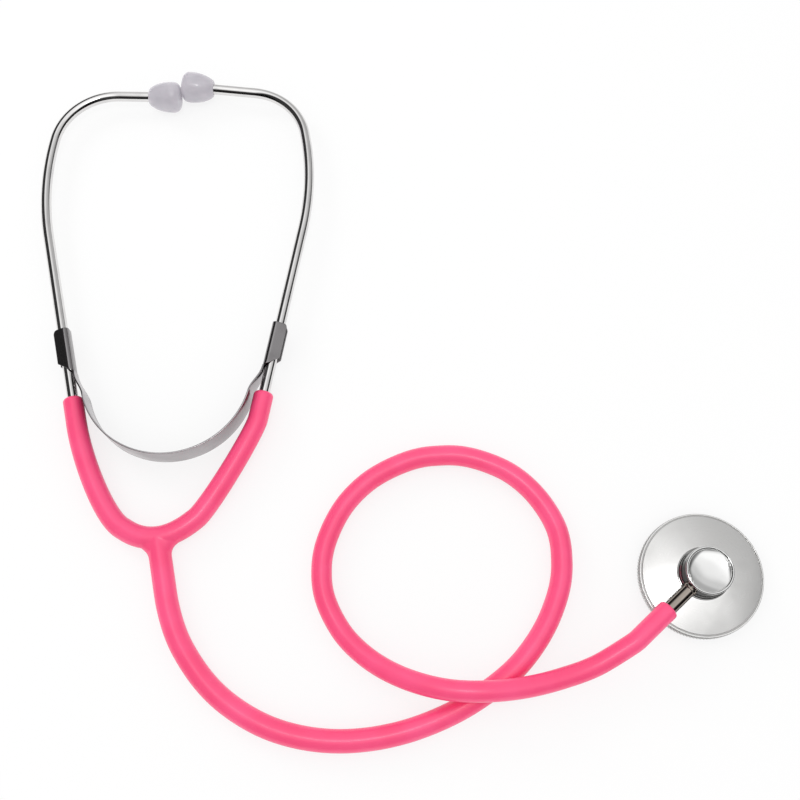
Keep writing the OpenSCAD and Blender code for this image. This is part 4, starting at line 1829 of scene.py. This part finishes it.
@dataclass
class Knurl:
    """Straight knurl: ridges set round a ring by a node tree."""

    radius: float
    teeth: int
    depth: float
    base: float
    height: float

    def tree(self) -> bpy.types.NodeTree:
        """Writes the tree that sets one ridge at each point of a circle.

        Returns:
            The tree.
        """
        tree = bpy.data.node_groups.new("knurl", "GeometryNodeTree")
        book = NodeBook(tree)
        kinds = {
            "Ring radius": "Float", "Teeth": "Int", "Tooth depth": "Float",
            "Tooth half width": "Float", "Height": "Float", "Base": "Float", "Finish": "Material",
        }
        for name, kind in kinds.items():
            tree.interface.new_socket(name, in_out="INPUT", socket_type=f"NodeSocket{kind}")
        tree.interface.new_socket("Geometry", in_out="OUTPUT", socket_type="NodeSocketGeometry")
        given = book.outputs(book.add("NodeGroupInput"), *kinds)
        radius, teeth, depth, half_width, height, base, finish = given
        circle = book.add("GeometryNodeMeshCircle", {"Vertices": teeth, "Radius": radius - depth})
        # A block stood on its edge, whose half diagonal is one
        edge = math.sqrt(2.0)
        block = book.add("GeometryNodeMeshCube", {"Size": (edge, edge, 1.0)})
        turn = {"Geometry": block, "Rotation": (0.0, 0.0, math.pi / 4)}
        ridge = book.add("GeometryNodeTransform", turn)
        place = book.add("GeometryNodeInputPosition")
        outward = book.add(
            "FunctionNodeAlignRotationToVector", {"Vector": place}, axis="X", pivot_axis="Z"
        )
        size = book.add("ShaderNodeCombineXYZ", {"X": depth, "Y": half_width, "Z": height})
        ridges = book.add(
            "GeometryNodeInstanceOnPoints",
            {"Points": circle, "Instance": ridge, "Rotation": outward, "Scale": size},
        )
        lift = book.add("ShaderNodeCombineXYZ", {"Z": base + height * 0.5})
        lifted = book.add("GeometryNodeTransform", {"Geometry": ridges, "Translation": lift})
        solid = book.add("GeometryNodeRealizeInstances", {"Geometry": lifted})
        dress = {"Geometry": solid, "Material": finish}
        book.add("NodeGroupOutput", {"Geometry": book.add("GeometryNodeSetMaterial", dress)})
        return tree

    def build(self, finish: bpy.types.Material) -> bpy.types.Object:
        """Builds the knurl as a plain mesh.

        Args:
            finish: The ridges' material.

        Returns:
            The piece.
        """
        piece = placed("ring_knurl", bpy.data.meshes.new("ring_knurl"))
        ridges = piece.modifiers.new("ridges", "NODES")
        ridges.node_group = self.tree()
        sizes = {
            "Ring radius": self.radius, "Teeth": self.teeth, "Tooth depth": self.depth,
            "Tooth half width": math.pi * self.radius / self.teeth, "Height": self.height,
            "Base": self.base, "Finish": finish,
        }
        for item in ridges.node_group.interface.items_tree:
            if item.in_out == "INPUT":
                ridges[item.identifier] = sizes[item.name]
        return settled(piece)


# ---- Whole object


def main() -> None:
    """Builds the stethoscope: camera and hose first, then the rest."""
    Studio().build()
    finishes = {
        Slot.HOSE: HoseVinyl().material(),
        Slot.EAR_TIP: TipVinyl().material(),
        Slot.TUBE: PlatedSteel().material(),
        Slot.SPRING: RolledSteel().material(),
        Slot.HUB: HUB_CHROME.material(),
        Slot.PLATE: TurnedAluminium().material(),
        Slot.DIAPHRAGM: SheetPlastic().material(),
    }
    # The clips take the darker, painted-shade copy of the spring steel
    shaded_clip_finishes = {**finishes, Slot.SPRING: SHADED_CLIP_STEEL.material()}
    fork, tubes, chestpiece = Fork(), TubeFrame(), Chestpiece()
    HoseLoop(fork, chestpiece).build(finishes)
    fork.build(finishes)
    for side in Side:
        HoseArm(tubes, fork, side).build(finishes)
        EarTube(tubes, side).build(finishes)
        SpringClip(tubes, side).build(shaded_clip_finishes)
    LeafSpring(tubes, SpringClip(tubes, Side.RIGHT)).build(finishes)
    chestpiece.build(finishes)


if __name__ == "__main__":
    logging.basicConfig(level=logging.INFO, format="%(message)s")
    main()
